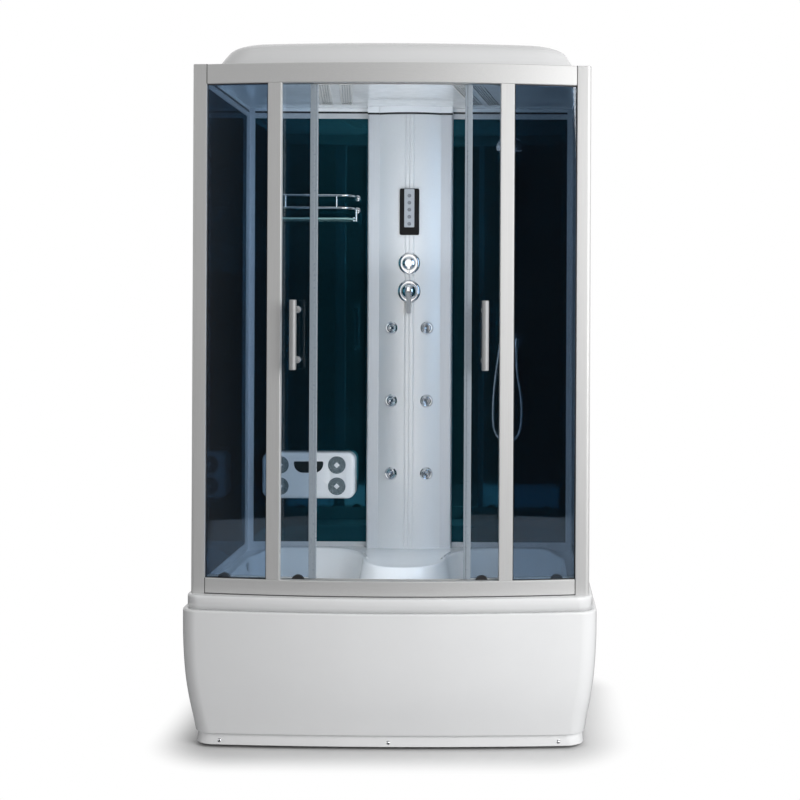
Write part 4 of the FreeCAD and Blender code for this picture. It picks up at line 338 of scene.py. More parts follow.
def tidy(mesh, sharp, flat=0.0, turn=True):
    """Merge doubles, join faces flat to within so many degrees, turn faces outward and smooth the rest.

    Edges sharper than the given angle stay sharp, and so do those where touching solids share an edge.
    Where the angle is nought, every face stays flat.
    """
    work = bmesh.new()
    work.from_mesh(mesh)
    bmesh.ops.remove_doubles(work, verts=work.verts, dist=MERGE_DISTANCE)
    if flat:
        bmesh.ops.dissolve_limit(
            work, angle_limit=math.radians(flat), verts=work.verts, edges=work.edges,
            use_dissolve_boundaries=False,
        )
    if turn:
        bmesh.ops.recalc_face_normals(work, faces=work.faces)
    shared = [index for index, edge in enumerate(work.edges) if len(edge.link_faces) > 2]
    work.to_mesh(mesh)
    work.free()
    if not sharp:
        mesh.shade_flat()
        return
    mesh.shade_smooth()
    mesh.set_sharp_from_angle(angle=math.radians(sharp))
    for index in shared:
        mesh.edges[index].use_edge_sharp = True


def piece(name, mesh, body, slot, stands_for=(), bevel=0.0, finish=None):
    """A new object of the cabin with its finish, on its body, standing for CAD nodes."""
    shape = bpy.data.objects.new(name, mesh)
    bpy.context.scene.collection.objects.link(shape)
    mesh.materials.clear()
    mesh.materials.append(finish or FINISHES[slot])
    if bevel:
        rounding = shape.modifiers.new("rounded_edges", "BEVEL")
        rounding.width = bevel
        rounding.segments = 2
        rounding.limit_method = "ANGLE"
        rounding.angle_limit = math.radians(EDGE_ANGLE)
        rounding.harden_normals = True
        rounding.use_clamp_overlap = True
    else:
        flats = shape.modifiers.new("flat_faces", "WEIGHTED_NORMAL")
        flats.weight = 100
        flats.keep_sharp = True
    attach(shape, body)
    if stands_for:
        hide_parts(*stands_for)
    return shape


def made(name, grids, body, slot, stands_for=(), finish=None, **faces):
    """A piece made from grids of points; faces says how grid_mesh closes and smooths them."""
    return piece(name, grid_mesh(name, grids, **faces), body, slot, stands_for, finish=finish)


def body_of(node):
    """The body that a CAD node rides on."""
    return nodes[node]["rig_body"]


def dressed(node, slot, bevel, flat=1.0, sharp=EDGE_ANGLE, finish=None, shape=None):
    """A merged copy of a CAD node that stands for it, with rounded edges; shape moves its points."""
    mesh = nodes[node].data.copy()
    mesh.name = node + "_finished"
    if shape:
        points = np.zeros(len(mesh.vertices) * 3)
        mesh.vertices.foreach_get("co", points)
        mesh.vertices.foreach_set("co", shape(points.reshape(-1, 3)).ravel())
    tidy(mesh, sharp, flat, turn=False)
    return piece(node + "_finished", mesh, body_of(node), slot, (node,), bevel, finish)


# Finishes. Shared effects are node groups that give values and masks from Object coordinates


NOISE_RANGE = (0.3, 0.7)


def new_group(name, label, kind, default):
    """An empty shader group: Vector, one input of its own, Low and High go in and Value comes out."""
    group = bpy.data.node_groups.new(name, "ShaderNodeTree")
    inputs = (("Vector", "Vector", None), (label, kind, default), ("Low", "Float", 0.0), ("High", "Float", 1.0))
    for title, form, value in inputs:
        socket = group.interface.new_socket(title, in_out="INPUT", socket_type="NodeSocket" + form)
        if value is not None:
            socket.default_value = value
    group.interface.new_socket("Value", in_out="OUTPUT", socket_type="NodeSocketFloat")
    return group, group.nodes.new("NodeGroupInput"), group.nodes.new("NodeGroupOutput")


def range_tail(group, entry, leave, source):
    """Spread a noise value between the group's Low and High."""
    spread = group.nodes.new("ShaderNodeMapRange")
    spread.inputs["From Min"].default_value = NOISE_RANGE[0]
    spread.inputs["From Max"].default_value = NOISE_RANGE[1]
    group.links.new(source, spread.inputs["Value"])
    group.links.new(entry.outputs["Low"], spread.inputs["To Min"])
    group.links.new(entry.outputs["High"], spread.inputs["To Max"])
    group.links.new(spread.outputs["Result"], leave.inputs["Value"])


def mottle_group():
    """Soft cloudy variation: fractal noise of a feature size, between Low and High."""
    group, entry, leave = new_group("mottle", "Per Metre", "Float", 20.0)
    noise = group.nodes.new("ShaderNodeTexNoise")
    noise.inputs["Detail"].default_value = 5.0
    noise.inputs["Roughness"].default_value = 0.6
    group.links.new(entry.outputs["Vector"], noise.inputs["Vector"])
    group.links.new(entry.outputs["Per Metre"], noise.inputs["Scale"])
    range_tail(group, entry, leave, noise.outputs["Fac"])
    return group


def grain_group():
    """Fine drawn lines: noise stretched along one axis, between Low and High."""
    group, entry, leave = new_group("drawn_grain", "Stretch", "Vector", (1.0, 1.0, 1.0))
    scaled = group.nodes.new("ShaderNodeVectorMath")
    scaled.operation = "MULTIPLY"
    noise = group.nodes.new("ShaderNodeTexNoise")
    noise.inputs["Scale"].default_value = 1.0
    noise.inputs["Detail"].default_value = 3.0
    group.links.new(entry.outputs["Vector"], scaled.inputs[0])
    group.links.new(entry.outputs["Stretch"], scaled.inputs[1])
    group.links.new(scaled.outputs["Vector"], noise.inputs["Vector"])
    range_tail(group, entry, leave, noise.outputs["Fac"])
    return group


MOTTLE = mottle_group()
GRAIN = grain_group()
UPRIGHT_GRAIN = (2200.0, 2200.0, 9.0)
LEVEL_GRAIN = (9.0, 2200.0, 2200.0)


class Finish:
    """A material under construction: one Principled shader and what feeds it."""

    def __init__(self, name, colour, roughness, metallic=0.0, **sockets):
        self.material = bpy.data.materials.new(name)
        self.material.use_nodes = True
        self.tree = self.material.node_tree
        self.tree.nodes.clear()
        self.end = self.add("ShaderNodeOutputMaterial")
        self.shader = self.add("ShaderNodeBsdfPrincipled")
        self.link(self.shader.outputs["BSDF"], self.end.inputs["Surface"])
        self.shader.inputs["Base Color"].default_value = (*colour, 1.0)
        self.shader.inputs["Roughness"].default_value = roughness
        self.shader.inputs["Metallic"].default_value = metallic
        for label, value in sockets.items():
            self.shader.inputs[label.replace("_", " ")].default_value = value
        self.place = self.add("ShaderNodeTexCoord").outputs["Object"]
        self.colour = colour
        self.material.diffuse_color = (*colour, 1.0)

    def add(self, kind):
        """A new shader node."""
        return self.tree.nodes.new(kind)

    def link(self, source, target):
        """Join an output to an input."""
        self.tree.links.new(source, target)

    def give_way(self, factor, other):
        """Show another shader in place of the finish's own, by a value."""
        blend = self.add("ShaderNodeMixShader")
        self.link(factor, blend.inputs["Fac"])
        self.link(self.shader.outputs["BSDF"], blend.inputs[1])
        self.link(other, blend.inputs[2])
        self.link(blend.outputs["Shader"], self.end.inputs["Surface"])

    def effect(self, group, **values):
        """The value of a shared effect over the surface."""
        node = self.add("ShaderNodeGroup")
        node.node_tree = group
        self.link(self.place, node.inputs["Vector"])
        for label, value in values.items():
            node.inputs[label.replace("_", " ")].default_value = value
        return node.outputs["Value"]

    def mottle(self, per_metre, low, high):
        """A cloudy value between low and high."""
        return self.effect(MOTTLE, Per_Metre=per_metre, Low=low, High=high)

    def grain(self, stretch, low, high):
        """A drawn-line value between low and high."""
        return self.effect(GRAIN, Stretch=stretch, Low=low, High=high)

    def rough(self, source):
        """Roughness from a value."""
        self.link(source, self.shader.inputs["Roughness"])
        return self

    def tint(self, other, source):
        """Base colour between the finish's own colour and another, by a value."""
        mix = self.add("ShaderNodeMix")
        mix.data_type = "RGBA"
        mix.inputs["A"].default_value = (*self.colour, 1.0)
        mix.inputs["B"].default_value = (*other, 1.0)
        self.link(source, mix.inputs["Factor"])
        self.link(mix.outputs["Result"], self.shader.inputs["Base Color"])
        return self

    def bump(self, source, distance):
        """Height from a value, distance metres high."""
        node = self.add("ShaderNodeBump")
        node.inputs["Strength"].default_value = 1.0
        node.inputs["Distance"].default_value = distance
        self.link(source, node.inputs["Height"])
        self.link(node.outputs["Normal"], self.shader.inputs["Normal"])
        return self


def acrylic(name, colour, shade):
    """Glossy moulded acrylic: a faint orange peel, soft clouds in the colour and a clear coat."""
    finish = Finish(name, colour, 0.2, Coat_Weight=0.35, Coat_Roughness=0.06)
    finish.tint(shade, finish.mottle(3.5, 0.0, 0.6))
    finish.rough(finish.mottle(26.0, 0.16, 0.27))
    return finish.bump(finish.mottle(70.0, 0.0, 1.0), 0.00004).material


def aluminium(name, stretch, colour=(0.66, 0.66, 0.655), dark=(0.60, 0.60, 0.598)):
    """Satin anodised aluminium with fine lines along its length."""
    finish = Finish(name, colour, 0.6, 0.62)
    finish.tint(dark, finish.grain(stretch, 0.0, 1.0))
    finish.rough(finish.grain(tuple(x * 0.6 for x in stretch), 0.56, 0.64))
    return finish.bump(finish.grain(stretch, 0.0, 1.0), 0.00002).material


def polished(name, colour, low=0.03, high=0.09):
    """Bright plated metal with faint smears in its gloss."""
    finish = Finish(name, colour, low, 1.0)
    finish.tint(tuple(0.93 * x for x in colour), finish.mottle(30.0, 0.0, 1.0))
    return finish.rough(finish.mottle(45.0, low, high)).material


def moulded(name, colour, roughness=0.45, fleck=0.85, coat=0.0, gloss=0.5):
    """Injection-moulded plastic with a fine spark-eroded texture."""
    finish = Finish(name, colour, roughness, Coat_Weight=coat, Specular_IOR_Level=gloss)
    finish.tint(tuple(fleck * x for x in colour), finish.mottle(400.0, 0.0, 1.0))
    finish.rough(finish.mottle(120.0, roughness - 0.06, roughness + 0.06))
    return finish.bump(finish.mottle(1500.0, 0.0, 1.0), 0.00003).material


def clear_glass(name, tint, shade, clear=1.0):
    """Tinted glass: a glass shader for what is seen, and plain tinted light through it for shadows."""
    finish = Finish(name, tint, 0.01, Transmission_Weight=clear, IOR=1.45)
    finish.rough(finish.mottle(6.0, 0.0, 0.035))
    through_light = finish.add("ShaderNodeBsdfTransparent")
    through_light.inputs["Color"].default_value = (*shade, 1.0)
    path = finish.add("ShaderNodeLightPath")
    finish.give_way(path.outputs["Is Shadow Ray"], through_light.outputs["BSDF"])
    return finish.material


def dark_glass(name):
    """Back-coated wall glass: a dark teal mirror with faint water marks."""
    finish = Finish(name, (0.018, 0.095, 0.125), 0.03, 0.85, Specular_Tint=(0.1, 0.3, 0.35, 1.0))
    finish.tint((0.015, 0.08, 0.108), finish.mottle(2.5, 0.0, 1.0))
    return finish.rough(finish.mottle(9.0, 0.02, 0.05)).material


def lacquer(name, colour, stretch):
    """Silver lacquer on a drawn sheet: fine level grain under a clear coat."""
    finish = Finish(name, colour, 0.42, 0.36, Coat_Weight=0.08, Coat_Roughness=0.2)
    finish.tint(tuple(0.9 * x for x in colour), finish.grain(stretch, 0.0, 1.0))
    finish.rough(finish.mottle(18.0, 0.38, 0.46))
    return finish.bump(finish.grain(stretch, 0.0, 1.0), 0.00001).material


def speckled(name, colour, fleck):
    """Grey-green plastic full of small pale flecks."""
    finish = Finish(name, colour, 0.5)
    flecks = finish.add("ShaderNodeTexVoronoi")
    flecks.inputs["Scale"].default_value = 280.0
    finish.link(finish.place, flecks.inputs["Vector"])
    ramp = finish.add("ShaderNodeMapRange")
    ramp.inputs["From Min"].default_value = 0.25
    ramp.inputs["From Max"].default_value = 0.4
    ramp.inputs["To Min"].default_value = 1.0
    ramp.inputs["To Max"].default_value = 0.0
    finish.link(flecks.outputs["Distance"], ramp.inputs["Value"])
    finish.tint(fleck, ramp.outputs["Result"])
    finish.rough(finish.mottle(200.0, 0.42, 0.58))
    return finish.bump(flecks.outputs["Distance"], 0.0002).material


def galvanised(name):
    """Zinc-coated steel tube with pale spangles."""
    finish = Finish(name, (0.5, 0.52, 0.54), 0.4, 0.85)
    spangle = finish.add("ShaderNodeTexVoronoi")
    spangle.inputs["Scale"].default_value = 110.0
    finish.link(finish.place, spangle.inputs["Vector"])
    finish.tint((0.36, 0.38, 0.4), spangle.outputs["Distance"])
    return finish.rough(finish.mottle(60.0, 0.3, 0.5)).material


FINISHES = {
    "acrylic_white": acrylic("acrylic_white", (0.84, 0.845, 0.85), (0.8, 0.806, 0.815)),
    "satin_aluminium": aluminium("satin_aluminium_upright", UPRIGHT_GRAIN),
    "front_glass": clear_glass("front_glass", (0.515, 0.615, 0.72), (0.7, 0.78, 0.85)),
    "wall_glass": dark_glass("wall_glass"),
    "door_edge_grey": moulded("door_edge_grey", (0.3, 0.35, 0.4), 0.3, 0.92, 0.3),
    "chrome": polished("chrome", (0.8, 0.81, 0.83)),
    "hose_metal": polished("hose_metal", (0.62, 0.64, 0.67), 0.14, 0.24),
    "brass_chromed": polished("brass_chromed", (0.78, 0.76, 0.7), 0.06, 0.16),
    "column_silver": lacquer("column_silver", (0.78, 0.785, 0.79), LEVEL_GRAIN),
    "panel_black": moulded("panel_black", (0.005, 0.005, 0.006), 0.12, 0.9, 0.0, 0.12),
    "key_silver": moulded("key_silver", (0.17, 0.18, 0.2), 0.3, 0.92, 0.3),
    "carrier_black": moulded("carrier_black", (0.02, 0.02, 0.021), 0.42),
    "wheel_white": moulded("wheel_white", (0.72, 0.72, 0.7), 0.4, 0.95),
    "frame_steel": galvanised("frame_steel"),
    "waste_grey": moulded("waste_grey", (0.5, 0.51, 0.52), 0.45),
    "shelf_clear": clear_glass("shelf_clear", (0.55, 0.8, 0.78), (0.85, 0.93, 0.92), 0.7),
    "massage_white": moulded("massage_white", (0.87, 0.88, 0.89), 0.22, 0.97, 0.4),
    "massage_grey": speckled("massage_grey", (0.11, 0.15, 0.165), (0.45, 0.5, 0.52)),
    "vent_grey": moulded("vent_grey", (0.6, 0.595, 0.58), 0.5),
}
LEVEL_ALUMINIUM = aluminium("satin_aluminium_level", LEVEL_GRAIN)
HANDLE_STEEL = aluminium("handle_steel", (2200.0, 2200.0, 60.0), (0.42, 0.425, 0.43), (0.33, 0.335, 0.34))
STRIP_SILVER = lacquer("panel_strip_silver", (0.42, 0.44, 0.47), LEVEL_GRAIN)
# Painted shade: near-black teal for the plug that fills the massage panel's slot.
SLOT_SHADE_DARK = moulded("slot_painted_shade", (0.008, 0.017, 0.018), 0.4)
# Painted light: a lighter, slightly bluer copy of the satin aluminium for the profiles inside the cabin, where
# the front frame keeps the darker one.
WALL_ALUMINIUM_PAINTED_LIGHT = aluminium("wall_aluminium_painted_light", UPRIGHT_GRAIN, (0.75, 0.755, 0.77), (0.7, 0.705, 0.72))
# Dark grey: the hand shower's rubber nubs, and painted shade in the jets' nozzle holes.
NOZZLE_RUBBER_AND_HOLE_SHADE = moulded("nozzle_rubber_and_hole_shade", (0.09, 0.095, 0.1), 0.4)


# Hand shower hose: the same route as the tube it stands for, from the outlet to the hand shower
HOSE_RADIUS = 0.006
HOSE_PITCH = 0.004
HOSE_GROOVE = 0.0007
HOSE_STEPS_PER_TURN = 8
HOSE_SIDES = 14
HOSE_TAIL = 0.085
HOSE_TAIL_RADIUS = 0.0052
HOSE_ROUTE = [
    (0.3930, 0.3550, 1.2370), (0.3930, 0.3550, 1.1790), (0.3990, 0.3540, 1.1220), (0.4110, 0.3510, 1.0620),
    (0.4145, 0.3510, 0.9950), (0.4095, 0.3500, 0.9310), (0.3925, 0.3490, 0.9016), (0.3624, 0.3475, 0.8906),
    (0.3323, 0.3460, 0.9016), (0.3143, 0.3440, 0.9304), (0.3085, 0.3420, 0.9750), (0.3095, 0.3390, 1.0400),
    (0.3160, 0.3340, 1.1200), (0.3310, 0.3260, 1.2220), (0.3470, 0.3170, 1.3450), (0.3570, 0.3135, 1.4700),
    (0.3630, 0.3150, 1.5850), (0.3650, 0.31861, 1.67829), (0.3650, 0.30360, 1.73431),
]
HOSE_BLEND_AXIS = (-3.1, 0.0, 1.0)


def hose_line():
    """Points of the hose's NURBS line, read from its curve."""
    curve = bpy.data.curves.new("hose_line", "CURVE")
    curve.dimensions = "3D"
    curve.resolution_u = 16
    spline = curve.splines.new("NURBS")
    spline.points.add(len(HOSE_ROUTE) - 1)
    spline.points.foreach_set("co", np.column_stack([HOSE_ROUTE, np.ones(len(HOSE_ROUTE))]).ravel())
    spline.order_u = 3
    spline.use_endpoint_u = True
    holder = bpy.data.objects.new("hose_line", curve)
    bpy.context.scene.collection.objects.link(holder)
    mesh = bpy.data.meshes.new_from_object(holder)
    points = np.zeros(len(mesh.vertices) * 3)
    mesh.vertices.foreach_get("co", points)
    bpy.data.objects.remove(holder)
    return points.reshape(-1, 3)


def evenly(points, step):
    """The line's points again, at even steps along it."""
    lengths = np.linalg.norm(np.diff(points, axis=0), axis=1)
    along = np.concatenate([[0.0], np.cumsum(lengths)])
    places = np.linspace(0, along[-1], int(along[-1] / step) + 1)
    return np.stack([np.interp(places, along, points[:, axis]) for axis in range(3)], 1), places


def shower_hose():
    """A round tube on the line with a spiral groove: radius - groove * (1 + cos(turns - angle)) / 2."""
    path, along = evenly(hose_line(), HOSE_PITCH / HOSE_STEPS_PER_TURN)
    angle = np.arange(HOSE_SIDES) * 2 * np.pi / HOSE_SIDES
    turn = along[:, None] * 2 * np.pi / HOSE_PITCH - angle[None]
    radius = HOSE_RADIUS - HOSE_GROOVE * (1 + np.cos(turn)) / 2
    tangent = unit(np.gradient(path, axis=0))
    across = unit(np.cross(tangent, OUT))
    spokes = carried(circle(1.0, HOSE_SIDES), np.zeros_like(path), across, np.cross(across, tangent))
    mesh = grid_mesh("shower_hose_spiral", [path[:, None] + radius[..., None] * spokes], sharp=80.0)
    hose = bpy.data.objects.new("shower_hose_spiral", mesh)
    bpy.context.scene.collection.objects.link(hose)
    mesh.materials.append(FINISHES["hose_metal"])
    axis = unit(HOSE_BLEND_AXIS)
    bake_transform(hose)
    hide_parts("shower_hose")
    tail = path[along > along[-1] - HOSE_TAIL][::HOSE_STEPS_PER_TURN]
    made("hose_tail", [tube(tail, HOSE_TAIL_RADIUS, HOSE_SIDES, OUT)], "hand_shower", "hose_metal")


shower_hose()


# Bath tub and apron
RIM_HALF = 0.637
RIM_FRONT_Y = -0.412
RIM_BOW = 0.050
RIM_CORNER = 0.055
RIM_BACK_CORNER = 0.006
RIM_LIP = 0.043
RIM_ROUND = 0.007
BASIN_HALF = 0.567
BASIN_FRONT_Y = -0.170
BASIN_BACK_Y = 0.352
BASIN_BOW = 0.014
BASIN_CORNER = 0.120
BASIN_FLOOR = 0.125
BASIN_SLOPE = 0.062
BASIN_COVE = 0.030
BASIN_LIP = 0.014
SEAT_RADIUS = 0.150
SEAT_FLARE = 0.170
SEAT_FRONT_Y = 0.081
TUB_WALL = 0.005
DECK_RISE = 0.018
DECK_SLOPE = (0.10, 0.33)
DECK_END = (0.386, 0.396)
DECK_SIDES = (0.50, 0.56)
DECK_ROWS = 24
TUB_EDGE_ANGLE = 50.0


def basin_half():
    """The right half of the basin's edge: bow, corners, back wall, and the flare and nose of the seat."""
    front = half_plan(BASIN_HALF, BASIN_BOW, BASIN_FRONT_Y, BASIN_BACK_Y, BASIN_CORNER, BASIN_CORNER)
    front = front[:1 - BACK_POINTS]
    nose_y = SEAT_FRONT_Y + SEAT_RADIUS
    flare_y = BASIN_BACK_Y - SEAT_FLARE
    reach = SEAT_RADIUS + SEAT_FLARE
    flare_x = math.sqrt(reach**2 - (flare_y - nose_y) ** 2)
    back = line(front[-1], (flare_x, BASIN_BACK_Y), 8)
    touch = math.atan2(nose_y - flare_y, -flare_x)
    flare = arc((flare_x, flare_y), SEAT_FLARE, math.pi / 2, touch, 22)
    nose = arc((0, nose_y), SEAT_RADIUS, touch - math.pi, -math.pi / 2, 20)
    return np.concatenate([front, back[1:], flare[1:], nose[1:]])


def moved_in(plan, offset):
    """A closed plan moved inward: each point along the normal of the line between its neighbours."""
    along = unit(np.roll(plan, -1, 0) - np.roll(plan, 1, 0))
    normal = np.stack([-along[:, 1], along[:, 0]], 1)
    return plan + normal * offset


def thicken(sheet, thickness):
    """Give a sheet its thickness, on its inner side."""
    wall = sheet.modifiers.new("wall", "SOLIDIFY")
    wall.thickness = thickness
    wall.offset = -1.0


def eased(value, start, end):
    """A soft step from 0 at start to 1 at end."""
    t = np.clip((value - start) / (end - start), 0, 1)
    return t * t * (3 - 2 * t)


def sloped_deck(grid):
    """Raise the seat's deck towards the wall, so that water runs into the basin: the rise is the full one
    at the rim's height, none at the basin's floor, and it ends before the rails and the side walls."""
    x, y, z = np.moveaxis(grid, -1, 0)
    rise = eased(y, *DECK_SLOPE) * (1 - eased(y, *DECK_END)) * (1 - eased(np.abs(x), *DECK_SIDES))
    share = np.clip((z - BASIN_FLOOR) / (RIM_Z - BASIN_FLOOR), 0, 1)
    return np.stack([x, y, z + DECK_RISE * rise * share], -1)


def wall_rows():
    """The basin's section from the rim down: (offset, z) with a rolled lip, sloping wall and cove."""
    foot = BASIN_SLOPE + 2 * BASIN_COVE
    wall = [(-BASIN_LIP, RIM_Z), (0.0, RIM_Z), (BASIN_SLOPE, BASIN_FLOOR), (foot, BASIN_FLOOR)]
    return rounded(wall, [0, BASIN_LIP, 2 * BASIN_COVE, 0], 8, ring=False)


def bath_tub():
    """One moulding: rows of rings from the turned-down lip over the rim and down to the basin's floor."""
    edge = basin_half()
    inner = whole(edge, True)
    rows = []
    lip = rounded([(0, RIM_Z - RIM_LIP), (0, RIM_Z), (RIM_ROUND * 2, RIM_Z)], RIM_ROUND, 6, ring=False)
    for inset, z in lip:
        corner = RIM_CORNER - inset
        outer = half_plan(RIM_HALF - inset, RIM_BOW, RIM_FRONT_Y + inset, BACK_Y, corner, RIM_BACK_CORNER)
        front = outer[:1 - BACK_POINTS]
        back_x = edge[len(front) - 1:, 0] / edge[len(front) - 1, 0] * front[-1, 0]
        back = np.column_stack([back_x, np.full(len(back_x), front[-1, 1])])
        rows.append(at_height(whole(np.concatenate([front, back[1:]]), True), z))
    section = wall_rows()
    first = at_height(moved_in(inner, section[0, 0]), RIM_Z)
    for share in np.linspace(0, 1, DECK_ROWS)[1:-1]:
        rows.append(rows[len(lip) - 1] * (1 - share) + first * share)
    for offset, z in section:
        rows.append(at_height(moved_in(inner, offset), z))
    grid = sloped_deck(np.stack(rows))
    mesh = grid_mesh("bath_tub_moulding", [grid], caps=False, sharp=TUB_EDGE_ANGLE)
    cap_floor(mesh)
    thicken(piece("bath_tub_moulding", mesh, "cabin", "acrylic_white", ("bath_tub",)), TUB_WALL)


INSIDE_ONLY = 1


def cap_floor(mesh):
    """Close the ring at the floor's level with flat triangles that stay inside its outline."""
    work = bmesh.new()
    work.from_mesh(mesh)
    rim = [edge for edge in work.edges if edge.is_boundary and edge.verts[0].co.z < BASIN_FLOOR + TUB_WALL]
    corners = list(dict.fromkeys(corner for edge in rim for corner in edge.verts))
    place = {corner: index for index, corner in enumerate(corners)}
    ring = [tuple(place[corner] for corner in edge.verts) for edge in rim]
    outline = [corner.co.xy for corner in corners]
    points, _, faces, origins, _, _ = delaunay_2d_cdt(outline, ring, [], INSIDE_ONLY, 1e-7)
    z = corners[0].co.z
    floor = [corners[old[0]] if old else work.verts.new((*point, z)) for point, old in zip(points, origins)]
    new_faces = [work.faces.new([floor[index] for index in face]) for face in faces]
    bmesh.ops.recalc_face_normals(work, faces=work.faces)
    if sum(face.normal.z * face.calc_area() for face in new_faces) < 0:
        bmesh.ops.reverse_faces(work, faces=work.faces)
    work.to_mesh(mesh)
    work.free()
    mesh.shade_smooth()
    mesh.set_sharp_from_angle(angle=math.radians(TUB_EDGE_ANGLE))


bath_tub()

APRON_HALF = 0.650
APRON_FRONT_Y = -0.425
APRON_TOP = 0.437
APRON_FOOT_INSET = 0.035
APRON_CORNER = 0.062
APRON_SHEET = 0.004
APRON_BOW = 0.050
KICK_BOW = 0.022
KICK_HEIGHT = 0.048
KICK_STEP = 0.007
KICK_ROUND = 0.0015
KICK_LEAN = 0.005
KICK_GAP = 0.011
APRON_ROUND = 0.006
APRON_LEDGE = 0.022
APRON_LEAN_SHARES = (
    (0.0, 1.0), (0.12, 0.80), (0.28, 0.50), (0.44, 0.26), (0.60, 0.11), (0.78, 0.02), (0.92, 0.0)
)
APRON_LEAN_ROWS = 40


def apron_row(inset, bow, z):
    """The apron's outline at one height, open at the back."""
    front_y = APRON_FRONT_Y + inset * (1 + (APRON_BOW - bow) / APRON_BOW)
    return at_height(whole(half_front(APRON_HALF - inset, bow, front_y, APRON_CORNER, BACK_Y), False), z)


def front_skirt():
    """The apron: a kick strip, a lean that eases into an upright face, a rolled top edge and a ledge."""
    kick_inset = APRON_FOOT_INSET + KICK_STEP
    lean_height = APRON_TOP - APRON_ROUND - KICK_HEIGHT
    kick_top = KICK_HEIGHT - KICK_STEP / 2
    kick = [(kick_inset, KICK_GAP), (kick_inset - KICK_LEAN, KICK_GAP), (kick_inset, kick_top)]
    rows = [apron_row(inset, KICK_BOW, z) for inset, z in rounded(kick, KICK_ROUND, 4, ring=False)]
    for height, inset in through(APRON_LEAN_SHARES, APRON_LEAN_ROWS):
        bow = APRON_BOW + (KICK_BOW - APRON_BOW) * inset
        rows.append(apron_row(APRON_FOOT_INSET * max(inset, 0), bow, KICK_HEIGHT + height * lean_height))
    edge = [(0, APRON_TOP - 4 * APRON_ROUND), (0, APRON_TOP), (APRON_LEDGE, APRON_TOP)]
    rows += [apron_row(inset, APRON_BOW, z) for inset, z in rounded(edge, APRON_ROUND, 6, ring=False)[1:]]
    mesh = grid_mesh("front_skirt_shell", [np.stack(rows)], ring=False, sharp=40.0)
    if mesh.polygons[len(mesh.polygons) // 2].normal.y > 0:
        mesh.flip_normals()
    thicken(piece("front_skirt_shell", mesh, "cabin", "acrylic_white", ("front_skirt",)), APRON_SHEET)


front_skirt()

SCREW_RADIUS = 0.008
SCREW_HEIGHT = 0.004
SCREW_Z = 0.022
SCREW_FORWARD = 0.003
WASHER_BACK = -0.001
WASHER_FRONT = 0.0012
DOME_SHARE = 0.78
SCREW_XS = (-0.53, 0.0, 0.53)


def skirt_screws():
    """Three domed chrome caps, each in a thin washer, square to the kick strip's face."""
    half = APRON_HALF - APRON_FOOT_INSET - KICK_STEP
    radius = (half**2 + KICK_BOW**2) / (2 * KICK_BOW)
    front = APRON_FRONT_Y + (APRON_FOOT_INSET + KICK_STEP) * (1 + (APRON_BOW - KICK_BOW) / APRON_BOW)
    washer = rod(SCREW_RADIUS, WASHER_BACK, WASHER_FRONT)
    turn = np.linspace(0, math.pi / 2, 8)
    dome = np.column_stack([DOME_SHARE * SCREW_RADIUS * np.sin(turn), SCREW_HEIGHT * np.cos(turn)])
    parts = []
    for x in SCREW_XS:
        lean = math.asin(x / radius)
        outward = np.array((math.sin(lean), -math.cos(lean), 0))
        place = np.array((x, front + radius - math.sqrt(radius**2 - x**2), SCREW_Z)) + SCREW_FORWARD * outward
        parts += [lathe(washer, 0.0006, 3, place, outward, 28), turned(dome, place, outward, 28)]
    made("skirt_screws_caps", parts, "cabin", "chrome", ("skirt_screws",))


skirt_screws()


# Roof
ROOF_LOW, ROOF_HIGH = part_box("roof_dome")
ROOF_HALF = 0.590
ROOF_CORNER = 0.110
ROOF_BOW = 0.044
ROOF_LEAN = 0.190
ROOF_SIDE_LEAN = 0.5
ROOF_SHARES = (
    (0.0, 0.0), (0.10, 0.20), (0.23, 0.43), (0.42, 0.71), (0.63, 0.86), (0.84, 0.94), (1.0, 0.97), (1.33, 1.0)
)
ROOF_ROWS = 48


def roof_dome():
    """The roof: bowed plans that close in as they rise along one smooth shoulder."""
    rows = []
    for inset_share, height_share in through(ROOF_SHARES, ROOF_ROWS):
        inset = ROOF_LEAN * inset_share
        half = ROOF_HALF - inset * ROOF_SIDE_LEAN
        corner = ROOF_CORNER - max(0.0, inset - ROOF_LEAN)
        plan = half_plan(half, ROOF_BOW, ROOF_LOW.y + inset, ROOF_HIGH.y - inset, corner, corner)
        z = ROOF_LOW.z + (ROOF_HIGH.z - ROOF_LOW.z) * min(height_share, 1.0)
        rows.append(at_height(whole(plan, True), z))
    made("roof_shell", [np.stack(rows)], "cabin", "acrylic_white", ("roof_dome",), sharp=60.0)


roof_dome()


# Front frame
TOP_RAIL = (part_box("top_rail")[0].z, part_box("top_rail")[1].z)
BOTTOM_RAIL = (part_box("bottom_rail")[0].z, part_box("bottom_rail")[1].z)
SIDES = ((-1, "left"), (1, "right"))
RAIL_DEPTH = 0.040
RAIL_ROUND = 0.003
RAIL_EDGE = 0.0008
TRACK_FRONT = 0.020
TRACK_BACK = 0.038
TRACK_DEPTH = 0.022
GUIDE_DEPTH = 0.030
MULLION_INNER_X = 0.342
MULLION_OUTER_X = 0.385
MULLION_DEPTH = 0.020
MULLION_ROUND = 0.0025
PANE_THICKNESS = 0.005
PANE_EDGE = 0.0007
FIXED_PANE_DEPTH = 0.008
FIXED_PANE_X = (MULLION_OUTER_X - 0.0097, 0.5917)
DOOR_FRONT = 0.026
DOOR_BACK = DOOR_FRONT + PANE_THICKNESS
DOOR_PANE_X = (0.248, 0.592)


def rail_section(low, high, channel, at_top):
    """A rail's section of (depth, z) with its door channel open at the top or bottom."""
    lip = high if at_top else low
    floor = lip - channel if at_top else lip + channel
    far = low if at_top else high
    return np.array([
        (0, lip), (TRACK_FRONT, lip), (TRACK_FRONT, floor), (TRACK_BACK, floor), (TRACK_BACK, lip),
        (RAIL_DEPTH, lip), (RAIL_DEPTH, far), (0, far),
    ])


